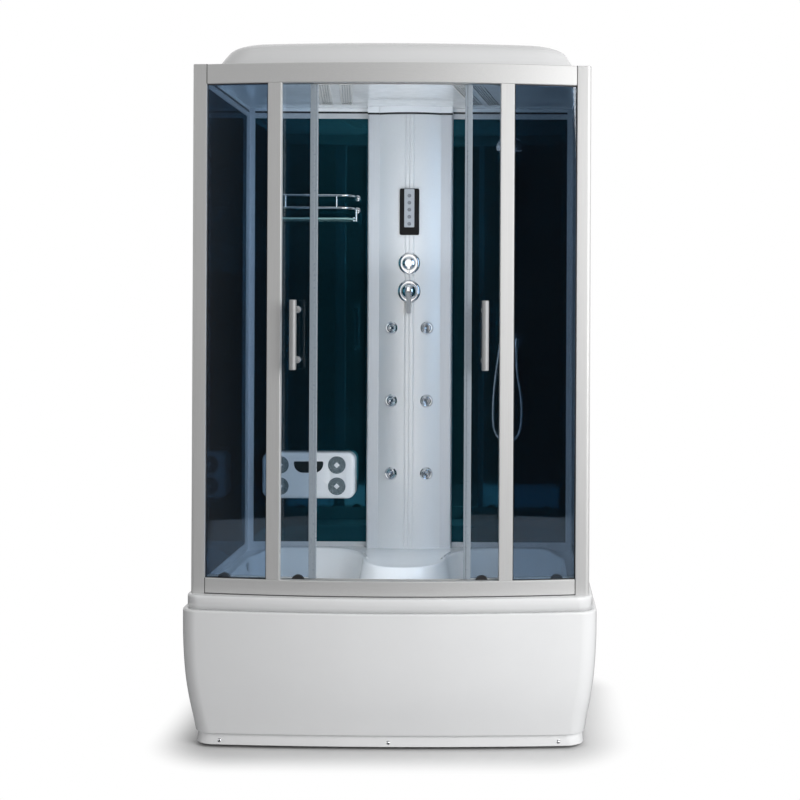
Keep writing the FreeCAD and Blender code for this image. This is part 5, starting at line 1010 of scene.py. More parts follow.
def front_rails():
    """The bowed top and bottom rails, with their front edges rounded."""
    edges = [RAIL_ROUND, RAIL_EDGE, 0, 0, RAIL_EDGE, RAIL_EDGE, RAIL_EDGE, RAIL_ROUND]
    for name, (low, high), channel, at_top in (
        ("top_rail", TOP_RAIL, GUIDE_DEPTH, False), ("bottom_rail", BOTTOM_RAIL, TRACK_DEPTH, True),
    ):
        section = rounded(rail_section(low, high, channel, at_top), edges, 4)
        grid = bowed(section, -RAIL_HALF, RAIL_HALF)
        made(name + "_extrusion", [grid], "cabin", "satin_aluminium", (name,), LEVEL_ALUMINIUM)


def mullions():
    """Two uprights, each a bar with rounded corners that follows the bow."""
    grids = []
    for side in (-1, 1):
        x0, x1 = sorted((side * MULLION_INNER_X, side * MULLION_OUTER_X))
        outline = rounded(rectangle(x0, x1, 0, MULLION_DEPTH), MULLION_ROUND, 5)
        plan = [bow_point(depth, x)[:2] for x, depth in outline]
        grids.append(upright(plan, BOTTOM_RAIL[1], TOP_RAIL[0]))
    made("mullion_bars", grids, "cabin", "satin_aluminium", ("mullions",))


def front_panes():
    """Two fixed panes and two door panes, bowed and with ground edges."""
    for side, word in SIDES:
        for node, depth, reach in (
            ("fixed_glass_" + word, FIXED_PANE_DEPTH, FIXED_PANE_X),
            ("door_glass_" + word, DOOR_FRONT, DOOR_PANE_X),
        ):
            low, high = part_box(node)
            section = rounded(rectangle(depth, depth + PANE_THICKNESS, low.z, high.z), PANE_EDGE, 3)
            ends = sorted((side * reach[0], side * reach[1]))
            made(node + "_pane", [bowed(section, *ends)], body_of(node), "front_glass", (node,))


front_rails()
mullions()
front_panes()
for _, word in SIDES:
    dressed("post_" + word, "satin_aluminium", 0.0012)
    dressed("door_edge_" + word, "door_edge_grey", 0.001)
    dressed("door_carriers_" + word, "carrier_black", 0.0008)
    dressed("side_glass_" + word, "wall_glass", 0.0007)
    dressed("back_glass_" + word, "wall_glass", 0.0007)
# The wall profiles take the lighter copy of the aluminium, painted light.
dressed("wall_profiles", "satin_aluminium", 0.0, sharp=0.0, finish=WALL_ALUMINIUM_PAINTED_LIGHT)

HANDLE_X = 0.295
HANDLE_Z = 1.2935
HANDLE_LENGTH = 0.217
HANDLE_RADIUS = 0.011
HANDLE_DEPTH = -0.029
HANDLE_BOLTS = 0.157
STANDOFF_RADIUS = 0.007
ROSETTE_RADIUS = 0.011
ROSETTE_HEIGHT = 0.004


def door_handle(side, word):
    """A round bar with eased ends, two standoffs with a waist, and a rosette each side of the pane."""
    x = side * HANDLE_X
    inward = bow_inward(x)
    reach = DOOR_FRONT - HANDLE_DEPTH
    neck = reach - ROSETTE_HEIGHT
    leg = [
        (0, 0), (STANDOFF_RADIUS, 0), (STANDOFF_RADIUS, reach * 0.5), (STANDOFF_RADIUS * 0.9, reach * 0.75),
        (STANDOFF_RADIUS, neck), (ROSETTE_RADIUS, neck), (ROSETTE_RADIUS, reach), (0, reach),
    ]
    inside = rod(ROSETTE_RADIUS, 0, ROSETTE_HEIGHT)
    bar = rod(HANDLE_RADIUS, -HANDLE_LENGTH / 2, HANDLE_LENGTH / 2)
    grids = [lathe(bar, 0.0025, 5, bow_point(HANDLE_DEPTH, x, HANDLE_Z), UP, 36)]
    for z in (HANDLE_Z - HANDLE_BOLTS / 2, HANDLE_Z + HANDLE_BOLTS / 2):
        grids.append(lathe(leg, 0.0009, 3, bow_point(HANDLE_DEPTH, x, z), inward, 28))
        grids.append(lathe(inside, 0.0012, 3, bow_point(DOOR_BACK, x, z), inward, 28))
    node = "door_handle_" + word
    made(node + "_bar", grids, body_of(node), "chrome", (node,), HANDLE_STEEL)


for side, word in SIDES:
    door_handle(side, word)


# Door wheels
WHEEL_RADIUS = 0.011
WHEEL_HALF = 0.0035
WHEEL_GROOVE = 0.0012
AXLE_RADIUS = 0.00255
WHEEL_DEPTH = 0.0285
CARRIER_XS = {"inner": 0.290, "outer": 0.528}


def door_wheels():
    """Four grooved nylon wheels, each with a bore for its axle."""
    section = [
        (AXLE_RADIUS, -WHEEL_HALF), (WHEEL_RADIUS, -WHEEL_HALF), (WHEEL_RADIUS - WHEEL_GROOVE, 0),
        (WHEEL_RADIUS, WHEEL_HALF), (AXLE_RADIUS, WHEEL_HALF), (AXLE_RADIUS, -WHEEL_HALF),
    ]
    for side, word in SIDES:
        for place, x in CARRIER_XS.items():
            node = f"wheel_{word}_{place}"
            low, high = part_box(node)
            centre = bow_point(WHEEL_DEPTH, side * x, (low.z + high.z) / 2)
            grid = lathe(section, 0.0004, 3, centre, bow_inward(side * x), 32)
            made(node + "_tyre", [grid], body_of(node), "wheel_white", (node,), caps=False)


door_wheels()


# Dark lines of the frame and of the room's head: glazing seals round the fixed panes, and painted shade in
# shadow gaps and along contact lines
SEAL_AND_SHADE_THICK = 0.0014
PANE_SEAL_SHADE_HIGH = 0.003
FOOT_SHADE_LINE_HIGH = 0.0021
JOINT_WIDTH = 0.0018
PANE_SEAL_SHADE_FRONT = FIXED_PANE_DEPTH - SEAL_AND_SHADE_THICK
WALL_X = 0.597
WALL_Y = 0.396
WALL_START_Y = -0.31
CORNER_POST = 0.019
LINE_RISE = 0.0004
TRIM_Y = 0.352
TRIM_X = (0.114, 0.156)
HEAD_Z = 2.1195
HEAD_LINE = (2.100, 2.107)
COLUMN_LINE = (2.090, 2.097)


def frame_seals_and_shade_lines():
    """Thin dark strips: painted shade of the shadow gap where the rails meet the posts; round each fixed pane,
    part glazing seal and part painted shade of the gap along the rails; and painted contact shade along the
    frame's foot on the rim.
    """
    grids = []
    low, high = BOTTOM_RAIL[1], TOP_RAIL[0]
    for side in (-1, 1):
        # Painted shade: a black strip over the rail's height at each rail end, for the shadow gap of the butt
        # joint with the post.
        ends = sorted((side * (RAIL_HALF - JOINT_WIDTH), side * RAIL_HALF))
        for foot, head in (TOP_RAIL, BOTTOM_RAIL):
            grids.append(bowed(rectangle(-SEAL_AND_SHADE_THICK / 3, SEAL_AND_SHADE_THICK, foot, head), *ends, 2))
        # Strips round each fixed pane: part glazing seal, part painted shade of the gap where the pane enters
        # the rails.
        run = sorted((side * MULLION_OUTER_X, side * RAIL_HALF))
        for foot, head in ((low, low + PANE_SEAL_SHADE_HIGH), (high - PANE_SEAL_SHADE_HIGH, high)):
            grids.append(bowed(rectangle(PANE_SEAL_SHADE_FRONT, FIXED_PANE_DEPTH, foot, head), *run, 12))
        for x in (MULLION_OUTER_X, RAIL_HALF - PANE_SEAL_SHADE_HIGH):
            corners = rectangle(PANE_SEAL_SHADE_FRONT, FIXED_PANE_DEPTH, x, x + PANE_SEAL_SHADE_HIGH)
            plan = [bow_point(depth, side * place)[:2] for depth, place in corners]
            grids.append(upright(plan, low, high))
    # Painted contact shade: a dark line along the rail's foot where it meets the rim.
    foot = rectangle(-SEAL_AND_SHADE_THICK, SEAL_AND_SHADE_THICK, RIM_Z, RIM_Z + FOOT_SHADE_LINE_HIGH)
    grids.append(bowed(foot, -RAIL_HALF, RAIL_HALF))
    made("frame_seals_and_shade_lines", grids, "cabin", "carrier_black")


def head_strip(path, inward, low, high):
    """A thin upright strip along a level path, its thickness towards the room."""
    return carried(rectangle(0, SEAL_AND_SHADE_THICK, low, high), at_height(path, 0.0), inward, UP)


def head_shade_lines():
    """Painted shade: a dark line for the shadow gap under a white cove, round the walls' heads and over the
    column with its trims.
    """
    inner, outer = TRIM_X
    x = np.linspace(-inner, inner, 41)
    face = np.column_stack([x, column_face(x, LINE_RISE)])
    front = np.concatenate([[(-outer, TRIM_Y), (-inner, TRIM_Y)], face, [(inner, TRIM_Y), (outer, TRIM_Y)]])
    runs = [(front, OUT, COLUMN_LINE)]
    for side in (-1, 1):
        back = line((side * outer, WALL_Y), (side * (WALL_X - CORNER_POST), WALL_Y), 6)
        wall = line((side * WALL_X, WALL_START_Y), (side * WALL_X, WALL_Y - CORNER_POST), 6)
        runs += [(back, OUT, HEAD_LINE), (wall, (-side, 0.0, 0.0), HEAD_LINE)]
    # The dark strips are painted shade in the heads' shadow gap; the white strips are the cove.
    dark = [head_strip(path, inward, *span) for path, inward, span in runs]
    white = [head_strip(path, inward, span[1], HEAD_Z) for path, inward, span in runs]
    made("head_shadow_line", dark, "cabin", "carrier_black")
    made("head_cove", white, "cabin", "acrylic_white")


# Control column and what it carries
COLUMN_HALF = 0.114
COLUMN_BULGE = 0.020
COLUMN_FRONT_Y = 0.336
COLUMN_SHEET = 0.003
COLUMN_RADIUS = (COLUMN_HALF**2 + COLUMN_BULGE**2) / (2 * COLUMN_BULGE)
COLUMN_CENTRE_Y = COLUMN_FRONT_Y + COLUMN_RADIUS
COLUMN_GROOVES = (-0.0156, 0.0, 0.0156)
COLUMN_GROOVE_HALF = 0.0022
COLUMN_GROOVE_DEPTH = 0.003


def column_face(x, rise=0.0):
    """The y of the column's face at x, rise before it."""
    return COLUMN_CENTRE_Y - np.sqrt((COLUMN_RADIUS + rise) ** 2 - np.asarray(x) ** 2)


def column_place(x, z, rise=0.0):
    """A point on the column's face, and the way the face looks there."""
    angle = math.asin(x / COLUMN_RADIUS)
    radius = COLUMN_RADIUS + rise
    point = (radius * math.sin(angle), COLUMN_CENTRE_Y - radius * math.cos(angle), z)
    return np.array(point), np.array((math.sin(angle), -math.cos(angle), 0.0))


def control_column():
    """The bulged sheet: its face is an arc less a rounded groove, depth * cos^2, at each of three lines."""
    low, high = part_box("control_column")
    x = np.linspace(-COLUMN_HALF, COLUMN_HALF, 229)
    face = column_face(x)
    for groove in COLUMN_GROOVES:
        near = np.clip(np.abs(x - groove) / COLUMN_GROOVE_HALF, 0, 1)
        face = face + COLUMN_GROOVE_DEPTH * np.cos(near * np.pi / 2) ** 2
    back = column_face(x, -COLUMN_SHEET)
    outline = np.concatenate([np.column_stack([x, face]), np.column_stack([x, back])[::-1]])
    grid = upright(outline, low.z, high.z)
    made("column_sheet", [grid], "cabin", "column_silver", ("control_column",), sharp=40.0)


control_column()
frame_seals_and_shade_lines()
head_shade_lines()

PANEL_HALF = 0.0355
PANEL_HIGH = 0.085
PANEL_Z = 1.732
PANEL_FRONT_Y = 0.326
PANEL_BACK_Y = 0.338
PANEL_ROUND = 0.006
CASE_HALF = 0.029
CASE_HIGH = 0.075
STRIP_HALF = 0.0185
STRIP_HIGH = 0.070
STRIP_Z = 1.745
STRIP_FRONT_Y = 0.3248
STRIP_BACK_Y = 0.327
STRIP_ROUND = 0.003
KEY_RADIUS = 0.007
KEY_RISE = 0.0018
KEY_HEIGHT = 0.005


def plate(half, high, centre, back_y, front_y, corner, edge):
    """A rounded plate that faces the front: rings of its outline from back to front, eased at the edge."""
    ring = rounded(rectangle(-half, half, -high, high), corner, 6)
    rows = []
    for inset, y in rounded([(0, back_y), (0, front_y), (edge * 2, front_y)], edge, 4, ring=False):
        scale = ((half - inset) / half, (high - inset) / high)
        rows.append(facing(ring * scale + centre, y))
    return np.stack(rows)


def control_panel():
    """A black bezel with a silver key strip near its top, and the plain box behind it."""
    bezel = plate(PANEL_HALF, PANEL_HIGH, (0, PANEL_Z), PANEL_BACK_Y, PANEL_FRONT_Y, PANEL_ROUND, 0.002)
    plan = rectangle(-CASE_HALF, CASE_HALF, COLUMN_FRONT_Y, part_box("control_panel")[1].y)
    case = upright(plan, PANEL_Z - CASE_HIGH, PANEL_Z + CASE_HIGH)
    made("panel_bezel", [bezel, case], "cabin", "panel_black", ("control_panel",))
    strip = plate(STRIP_HALF, STRIP_HIGH, (0, STRIP_Z), STRIP_BACK_Y, STRIP_FRONT_Y, STRIP_ROUND, 0.0008)
    made("panel_strip", [strip], "cabin", "panel_black", finish=STRIP_SILVER)


def keys():
    """Five round keys with a shallow dish."""
    for number in range(1, 6):
        node = f"key_{number}"
        low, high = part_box(node)
        centre = ((low.x + high.x) / 2, low.y + KEY_RISE, (low.z + high.z) / 2)
        outline = [
            (0, KEY_RISE * 0.7), (KEY_RADIUS * 0.45, KEY_RISE * 0.75), (KEY_RADIUS * 0.8, KEY_RISE),
            (KEY_RADIUS, KEY_RISE * 0.6), (KEY_RADIUS, KEY_RISE - KEY_HEIGHT), (0, KEY_RISE - KEY_HEIGHT),
        ]
        grid = lathe(outline, 0.0008, 3, centre, OUT, 28)
        made(node + "_cap", [grid], body_of(node), "key_silver", (node,))


control_panel()
keys()

JET_X = 0.065
JET_ROWS = (1.307, 1.040, 0.773)
JET_RADIUS = 0.0235
JET_RISE = 0.009
JET_BALL = 0.012
JET_BODY_RADIUS = 0.016
JET_BODY_LENGTH = 0.038
JET_SEAT = -0.002
BALL_RISE = 0.001
BALL_CUT = 0.75
NOZZLE_FACE = 0.0087
NOZZLE_HOLES = 6
NOZZLE_RING = 0.0058
HOLE_RADIUS = 0.0008
HOLE_HEIGHT = 0.0006
HOLE_DEPTH = 0.0004


def jets():
    """Six chrome bezels: a flat flange, a bead and a dish that falls to the ball nozzle in its middle."""
    bezel = [
        (0, -JET_BODY_LENGTH), (JET_BODY_RADIUS, -JET_BODY_LENGTH), (JET_BODY_RADIUS, JET_SEAT),
        (JET_RADIUS, JET_SEAT), (JET_RADIUS, JET_RISE * 0.3), (JET_RADIUS * 0.88, JET_RISE * 0.6),
        (JET_RADIUS * 0.78, JET_RISE), (JET_RADIUS * 0.66, JET_RISE * 0.9),
        (JET_BALL * 0.98, JET_RISE * 0.45), (0, JET_RISE * 0.3),
    ]
    lean = np.linspace(BALL_CUT, math.pi - BALL_CUT, 14)
    ball = JET_BALL * np.column_stack([np.sin(lean), np.cos(lean)])
    eye = [(0, 0.0015), (0.0028, 0.0015), (0.0030, NOZZLE_FACE - 0.0006), (0.0042, NOZZLE_FACE)]
    nozzle = np.concatenate([eye, ball, [(0, ball[-1, 1])]])
    hole = rod(HOLE_RADIUS, 0, HOLE_HEIGHT)[::-1]
    spots = NOZZLE_RING * circle(1.0, NOZZLE_HOLES)
    bezels = []
    for number, (x, z) in enumerate([(side * JET_X, z) for z in JET_ROWS for side in (-1, 1)], 1):
        point, outward = column_place(x, z)
        bezels.append(lathe(bezel, 0.0011, 3, point, outward, 44))
        node = f"jet_nozzle_{number}"
        centre, _ = column_place(x, z, BALL_RISE)
        made(node + "_ball", [turned(nozzle, centre, outward, 36)], body_of(node), "chrome", (node,))
        # Painted shade: dark grey discs just proud of the nozzle's face stand for the shade inside its holes.
        face = centre + outward * (NOZZLE_FACE - HOLE_DEPTH)
        holes = [turned(hole, face + spot, outward, 10) for spot in facing(spots, 0.0)]
        made(node + "_holes", holes, body_of(node), "chrome", finish=NOZZLE_RUBBER_AND_HOLE_SHADE)
    made("jet_bezels", bezels, "cabin", "chrome", ("jet_housings",))


jets()

DIVERTER_Z = 1.543
PLATE_FRONT_Y = 0.329
KNOB_RADIUS = 0.025
KNOB_RISE = 0.026
POINTER_HALF = 0.0035
POINTER_LENGTH = 0.035
KNOB_GAP = 0.0003


def diverter_knob():
    """A domed knob with a raised pointer bar across its face."""
    outline = [
        (0, KNOB_RISE), (KNOB_RADIUS * 0.55, KNOB_RISE * 0.97), (KNOB_RADIUS * 0.86, KNOB_RISE * 0.85),
        (KNOB_RADIUS, KNOB_RISE * 0.55), (KNOB_RADIUS * 0.97, KNOB_GAP), (0, KNOB_GAP),
    ]
    knob = lathe(outline, 0.004, 6, (0, PLATE_FRONT_Y, DIVERTER_Z), OUT, 56)
    pointer = plate(
        POINTER_HALF, POINTER_LENGTH / 2, (0, DIVERTER_Z - POINTER_LENGTH / 2), PLATE_FRONT_Y - KNOB_GAP,
        PLATE_FRONT_Y - KNOB_RISE * 0.6, 0.0034, 0.0012,
    )
    made("diverter_knob_dome", [knob, pointer], "diverter_knob", "chrome", ("diverter_knob",))


diverter_knob()
dressed("mixer_cap", "chrome", 0.0008, sharp=40.0)
dressed("mixer_lever", "chrome", 0.0012, sharp=40.0, finish=HANDLE_STEEL)
dressed("mixer_valve", "brass_chromed", 0.0015, finish=FINISHES["chrome"])


# Shelf rack, massage panel and shower set on the back panes
SHELF_X = -0.3515
SHELF_HALF = 0.1535
SHELF_END = SHELF_X + SHELF_HALF
SHELF_SHARE = 0.872
SHELF_BACK_Y = 0.399
SHELF_FRONT_Y = 0.279
SHELF_CORNER = 0.045
RAIL_WIRE = 0.004
SHELF_RAILS = (1.786, 1.741)
UPRIGHT_X = 0.092
UPRIGHT_RADIUS = 0.003
WALL_ROSE = [(0, 0), (0.011, 0), (0.011, 0.003), (0.007, 0.005), (0, 0.005)]
SHELF_GAP = 0.0035
CLAMP_Y = 0.339
JAWS = (1.696, 1.706)
JAW_RADIUS = 0.0065
JAW_HEIGHT = 0.004
JAW_REACH = 0.009
ARM_Z = 1.698
ARM_REACH = 0.014
ARM_RADIUS = 0.002


def shelf_rack():
    """Two bent rails with wall roses, two uprights, and clamps at the glass."""
    start, end = SHELF_X - SHELF_HALF, SHELF_END
    route = [(start, SHELF_BACK_Y), (start, SHELF_FRONT_Y), (end, SHELF_FRONT_Y), (end, SHELF_BACK_Y)]
    plan = rounded(route, SHELF_CORNER, 12, ring=False)
    grids = []
    for z in SHELF_RAILS:
        grids.append(tube(at_height(plan, z), RAIL_WIRE, 18))
        for x in (start, end):
            grids.append(lathe(WALL_ROSE, 0.001, 4, (x, SHELF_BACK_Y, z), OUT, 28))
    for x in (SHELF_X - UPRIGHT_X, SHELF_X + UPRIGHT_X):
        ends = line((x, SHELF_FRONT_Y, SHELF_RAILS[1]), (x, SHELF_FRONT_Y, SHELF_RAILS[0]), 2)
        grids.append(tube(ends, UPRIGHT_RADIUS, 14, OUT))
    made("shelf_rails", grids, "cabin", "chrome", ("shelf_rack",))
    jaw = rod(JAW_RADIUS, 0, JAW_HEIGHT)
    clamps = []
    for side in (-1, 1):
        x = SHELF_X + side * (SHELF_HALF + RAIL_WIRE * 0.5)
        for z in JAWS:
            clamps.append(lathe(jaw, 0.0008, 3, (x - side * JAW_REACH, CLAMP_Y, z), UP, 20))
        post = line((x, CLAMP_Y, JAWS[0]), (x, CLAMP_Y, SHELF_RAILS[1]), 2)
        clamps.append(tube(post, RAIL_WIRE, 14, OUT))
        arm = line((x, CLAMP_Y, ARM_Z), (x - side * ARM_REACH, CLAMP_Y, ARM_Z), 2)
        clamps.append(tube(arm, ARM_RADIUS, 12))
    made("shelf_clamps", clamps, "cabin", "chrome")


def shelf_width(points):
    """The glass made as wide as its rails: x = end + (x - its own right end) * share."""
    x = SHELF_END - SHELF_GAP + (points[:, 0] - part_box("shelf_glass")[1].x) * SHELF_SHARE
    return np.column_stack([x, points[:, 1:]])


shelf_rack()
dressed("shelf_glass", "shelf_clear", 0.0008, shape=shelf_width)

MASSAGE_X = -0.367
SLOT_HALF = 0.0537
SLOT_LOW, SLOT_HIGH = 0.7743, 0.8157
SLOT_ROUND = (0.033, 0.033, 0.0047, 0.0047)
SLOT_FACE = 0.004
SLOT_FLOOR = 0.0375
DISC_RADIUS = 0.032
DISC_PLACES = [(MASSAGE_X + side * 0.104, 0.764 + rise * 0.039) for side in (-1, 1) for rise in (-1, 1)]
MASSAGE_FRONT_Y = 0.344
DISC_RIBS = 5
RIBS_FROM, RIBS_TO = 0.38, 0.94
RIB_MIDDLE = 0.0021
RIB_RISE = 0.0008
DIAMOND_SHARE = 0.34
DIAMOND_ROWS = ((1, 0.001), (1, 0.003), (0.7, 0.0048))


def massage_discs():
    """Four speckled discs ribbed in rings, each with a pale diamond in its middle."""
    share = np.linspace(RIBS_FROM, RIBS_TO, 61)
    ribs = RIB_MIDDLE + RIB_RISE * np.cos((share - RIBS_FROM) / (RIBS_TO - RIBS_FROM) * DISC_RIBS * 2 * np.pi)
    face = np.column_stack([share * DISC_RADIUS, ribs])
    rim = [(DISC_RADIUS, 0.0015), (DISC_RADIUS, -0.003), (0, -0.003)]
    outline = np.concatenate([[(0, 0.0018)], face, rim])
    diamond = circle(DISC_RADIUS * DIAMOND_SHARE, 4)
    discs, diamonds = [], []
    for x, z in DISC_PLACES:
        discs.append(turned(outline, (x, MASSAGE_FRONT_Y, z), OUT, 56))
        rows = [facing(diamond * size + (x, z), MASSAGE_FRONT_Y - rise) for size, rise in DIAMOND_ROWS]
        diamonds.append(np.stack(rows))
    made("massage_disc_ribs", discs, "cabin", "massage_grey", ("massage_discs",), sharp=50.0)
    made("massage_diamonds", diamonds, "cabin", "massage_white")


def slot_shade_fill():
    """Painted shade in the panel's slot: a near-black plug of its outline with deep lower corners, from a
    little behind the face, for the shade deep in the slot.
    """
    ring = rounded(rectangle(-SLOT_HALF, SLOT_HALF, SLOT_LOW, SLOT_HIGH), SLOT_ROUND, 8) + (MASSAGE_X, 0)
    rows = [facing(ring, MASSAGE_FRONT_Y + depth) for depth in (SLOT_FLOOR, SLOT_FACE)]
    # The plug's near-black finish is painted shade in the slot.
    made("massage_slot_shade_fill", [np.stack(rows)], "cabin", "massage_grey", finish=SLOT_SHADE_DARK)


dressed("massage_panel", "massage_white", 0.0012, flat=0.5, sharp=40.0)
massage_discs()
slot_shade_fill()
for node in ("riser_bar", "shower_slider", "shower_holder", "hand_shower", "wall_outlet"):
    dressed(node, "chrome", 0.0007, sharp=40.0)

FACE_RINGS = ((0.012, 8), (0.022, 14), (0.032, 20))
FACE_LEAN = math.radians(48.0)
GRIP_LEAN = math.radians(15.0)
GRIP_START = (0.365, 0.29894, 1.75170)
FACE_ALONG = 0.22145
FACE_BEFORE = 0.0134
NUB = [(0, 0.0022), (0.0009, 0.002), (0.0014, 0), (0, 0)]


def shower_face():
    """Rubber nozzles in rings on the hand shower's face."""
    face = np.array((0.0, -math.cos(FACE_LEAN), -math.sin(FACE_LEAN)))
    grip = np.array((0.0, -math.sin(GRIP_LEAN), math.cos(GRIP_LEAN)))
    centre = GRIP_START + grip * FACE_ALONG + face * FACE_BEFORE
    across = np.array([RIGHT, np.cross(face, RIGHT)])
    nubs = []
    for radius, count in FACE_RINGS:
        nubs += [turned(NUB, centre + spot @ across, face, 8) for spot in circle(radius, count)]
    made("shower_nubs", nubs, "hand_shower", "chrome", finish=NOZZLE_RUBBER_AND_HOLE_SHADE)


shower_face()

# Ceiling and what lies under the tub
VENT_SPLAY = 0.12
VENT_ROOM = 0.006


def splayed(points):
    """Vents and their openings fanned out to the back: x moves out by splay * (y - the vents' middle)."""
    low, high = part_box("ceiling_vents")
    x, y, z = points.T
    near_x = (x > low.x - VENT_ROOM) & (x < high.x + VENT_ROOM)
    near_y = (y > low.y - VENT_ROOM) & (y < high.y + VENT_ROOM)
    shift = np.sign(x) * VENT_SPLAY * (y - (low.y + high.y) / 2)
    return np.column_stack([x + near_x * near_y * shift, y, z])


dressed("ceiling_panel", "acrylic_white", 0.0008, shape=splayed)
dressed("ceiling_vents", "vent_grey", 0.0005, shape=splayed)
dressed("tub_frame", "frame_steel", 0.0)
dressed("waste_and_overflow", "waste_grey", 0.001)
for name, node in nodes.items():
    node.data.materials.clear()
    node.data.materials.append(FINISHES["satin_aluminium"])


# Studio
FLOOR_RADIUS = 5.0
FLOOR_WHITE = (0.76, 0.76, 0.76)
FLOOR_IN_MIRRORS = (0.12, 0.12, 0.13)
FLOOR_CORE = (0.47, 0.27, 0.0)
FLOOR_FADE = (0.12, 0.31)
WORLD_FILL = 0.31
FRONT_DARKENING = {"From Min": -0.93, "From Max": -0.62, "To Min": 0.03, "To Max": 0.85}

ALL = (True, True, True)
MATT_ONLY = (False, False, True)
MIRRORS_ONLY = (False, True, False)


def light(name, place, target, size, power, colour=(1.0, 1.0, 1.0), seen=ALL, spread=180):
    """A soft lamp that looks at a target; seen says if cameras, mirrors and matt surfaces see it."""
    lamp = bpy.data.lights.new(name, "AREA")
    lamp.shape = "RECTANGLE"
    lamp.size, lamp.size_y = size
    lamp.energy = power
    lamp.color = colour
    lamp.spread = math.radians(spread)
    holder = bpy.data.objects.new(name, lamp)
    holder.location = place
    holder.rotation_euler = (Vector(target) - Vector(place)).to_track_quat("-Z", "Y").to_euler()
    holder.visible_camera, holder.visible_glossy, holder.visible_diffuse = seen
    holder.visible_transmission = seen[0]
    bpy.context.scene.collection.objects.link(holder)


def seen_through(tree, path):
    """A value that is 1 for camera and transmission rays, from a light path node."""
    seen = tree.nodes.new("ShaderNodeMath")
    seen.operation = "MAXIMUM"
    tree.links.new(path.outputs["Is Camera Ray"], seen.inputs[0])
    tree.links.new(path.outputs["Is Transmission Ray"], seen.inputs[1])
    return seen.outputs["Value"]


def white_floor():
    """A round pale floor that keeps the cabin's shadow near it and shows white to the camera further off."""
    radii = np.array([0.0, 1.0, 2.0, 3.5, FLOOR_RADIUS])
    ring = circle(1.0, 64)
    grid = np.concatenate([radii[:, None, None] * ring[None], np.zeros((len(radii), 64, 1))], -1)
    mesh = grid_mesh("floor", [grid], caps=False)
    if mesh.polygons[0].normal.z < 0:
        mesh.flip_normals()
    floor = bpy.data.objects.new("floor", mesh)
    bpy.context.scene.collection.objects.link(floor)
    finish = Finish("floor_white", FLOOR_WHITE, 0.7, Specular_IOR_Level=0.1)
    path = finish.add("ShaderNodeLightPath")
    finish.tint(FLOOR_IN_MIRRORS, path.outputs["Is Glossy Ray"])
    source = finish.place
    steps = (("ABSOLUTE", None), ("SUBTRACT", FLOOR_CORE), ("MAXIMUM", (0, 0, 0)), ("LENGTH", None))
    for operation, value in steps:
        node = finish.add("ShaderNodeVectorMath")
        node.operation = operation
        finish.link(source, node.inputs[0])
        if value:
            node.inputs[1].default_value = value
        source = node.outputs["Value" if operation == "LENGTH" else "Vector"]
    away = finish.add("ShaderNodeMapRange")
    away.interpolation_type = "SMOOTHSTEP"
    away.inputs["From Min"].default_value = FLOOR_FADE[0]
    away.inputs["From Max"].default_value = FLOOR_FADE[1]
    finish.link(source, away.inputs["Value"])
    fade = finish.add("ShaderNodeMath")
    fade.operation = "MULTIPLY"
    finish.link(away.outputs["Result"], fade.inputs[0])
    finish.link(seen_through(finish.tree, path), fade.inputs[1])
    finish.give_way(fade.outputs["Value"], finish.add("ShaderNodeEmission").outputs["Emission"])
    mesh.materials.append(finish.material)


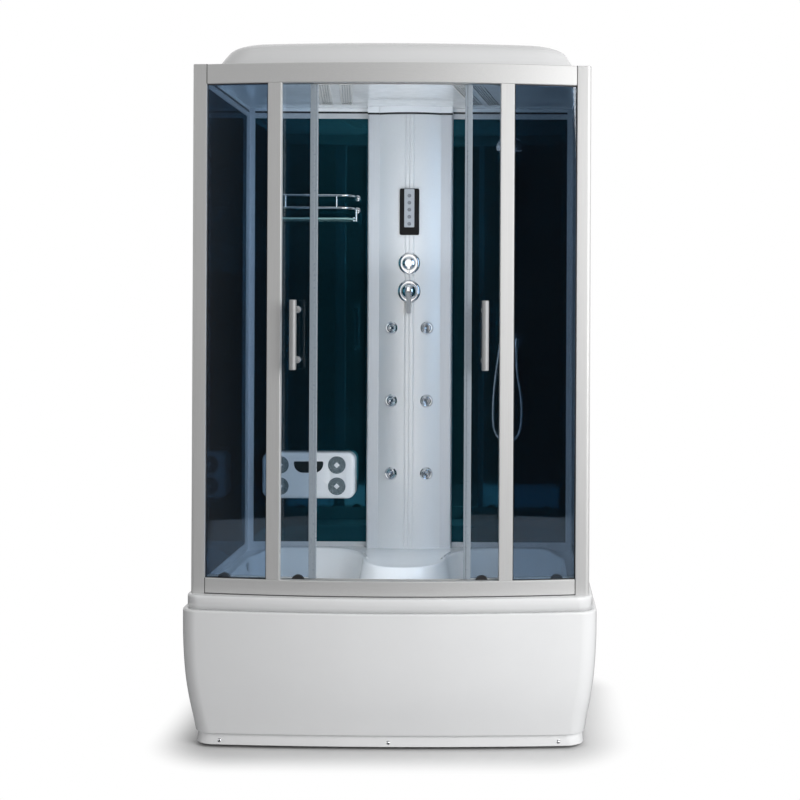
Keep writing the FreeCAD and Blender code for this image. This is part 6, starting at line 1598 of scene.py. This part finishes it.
def studio_world():
    """White behind the cabin, a plain fill for its light, and for mirrors a dark front low down."""
    world = bpy.data.worlds.new("studio")
    world.use_nodes = True
    bpy.context.scene.world = world
    tree = world.node_tree
    tree.nodes.clear()
    add, join = tree.nodes.new, tree.links.new
    fill, white, mirror = [add("ShaderNodeBackground") for _ in range(3)]
    for background, strength in ((fill, WORLD_FILL), (white, 1.0), (mirror, 1.0)):
        background.inputs["Color"].default_value = (1, 1, 1, 1)
        background.inputs["Strength"].default_value = strength
    way = add("ShaderNodeTexCoord")
    split = add("ShaderNodeSeparateXYZ")
    join(way.outputs["Generated"], split.inputs["Vector"])
    front = add("ShaderNodeMapRange")
    front.interpolation_type = "SMOOTHSTEP"
    for label, value in FRONT_DARKENING.items():
        front.inputs[label].default_value = value
    join(split.outputs["Y"], front.inputs["Value"])
    join(front.outputs["Result"], mirror.inputs["Strength"])
    path = add("ShaderNodeLightPath")
    reflected = add("ShaderNodeMath")
    reflected.operation = "GREATER_THAN"
    reflected.inputs[1].default_value = 0.5
    join(path.outputs["Glossy Depth"], reflected.inputs[0])
    first, second = add("ShaderNodeMixShader"), add("ShaderNodeMixShader")
    join(seen_through(tree, path), first.inputs["Fac"])
    join(fill.outputs["Background"], first.inputs[1])
    join(white.outputs["Background"], first.inputs[2])
    join(reflected.outputs["Value"], second.inputs["Fac"])
    join(first.outputs["Shader"], second.inputs[1])
    join(mirror.outputs["Background"], second.inputs[2])
    end = add("ShaderNodeOutputWorld")
    join(second.outputs["Shader"], end.inputs["Surface"])


white_floor()
studio_world()
ROOM_TINT = (0.86, 0.93, 1.0)
FRONT_TINT = (1.0, 0.985, 0.965)
light("right_softbox", (2.4, -2.6, 2.0), (0.0, 0.0, 1.1), (1.9, 2.4), 99)
light("left_softbox", (-3.6, -2.6, 2.2), (0.0, 0.0, 1.1), (2.2, 2.4), 4)
light("top_softbox", (0.0, -0.3, 5.0), (0.0, 0.0, 0.0), (3.0, 3.0), 3)
light("room_ceiling_wash", (-0.2, 0.0, 1.5), (-0.2, 0.0, 2.1), (1.0, 0.4), 2.6, ROOM_TINT, MATT_ONLY)
light("room_head_fill", (-0.15, -0.25, 1.98), (-0.15, 0.4, 2.08), (0.9, 0.08), 0.4, ROOM_TINT, MATT_ONLY, 110)
light("room_basin_wash", (0.0, -0.06, 1.1), (0.0, -0.06, 0.4), (1.05, 0.4), 0.25, ROOM_TINT, MATT_ONLY)
light("room_seat_fill", (-0.2, -0.22, 0.6), (0.12, 0.25, 0.42), (0.5, 0.08), 0.4, ROOM_TINT, MATT_ONLY, 110)
light("room_front_fill", (0.12, -0.28, 1.2), (0.04, 0.40, 1.2), (0.2, 1.4), 1.4, FRONT_TINT, MATT_ONLY, 110)
light("room_front_card", (-0.055, -0.28, 1.3), (-0.055, 0.4, 1.3), (0.32, 1.3), 1.7, FRONT_TINT, MIRRORS_ONLY)

bpy.context.scene.view_settings.view_transform = "Standard"
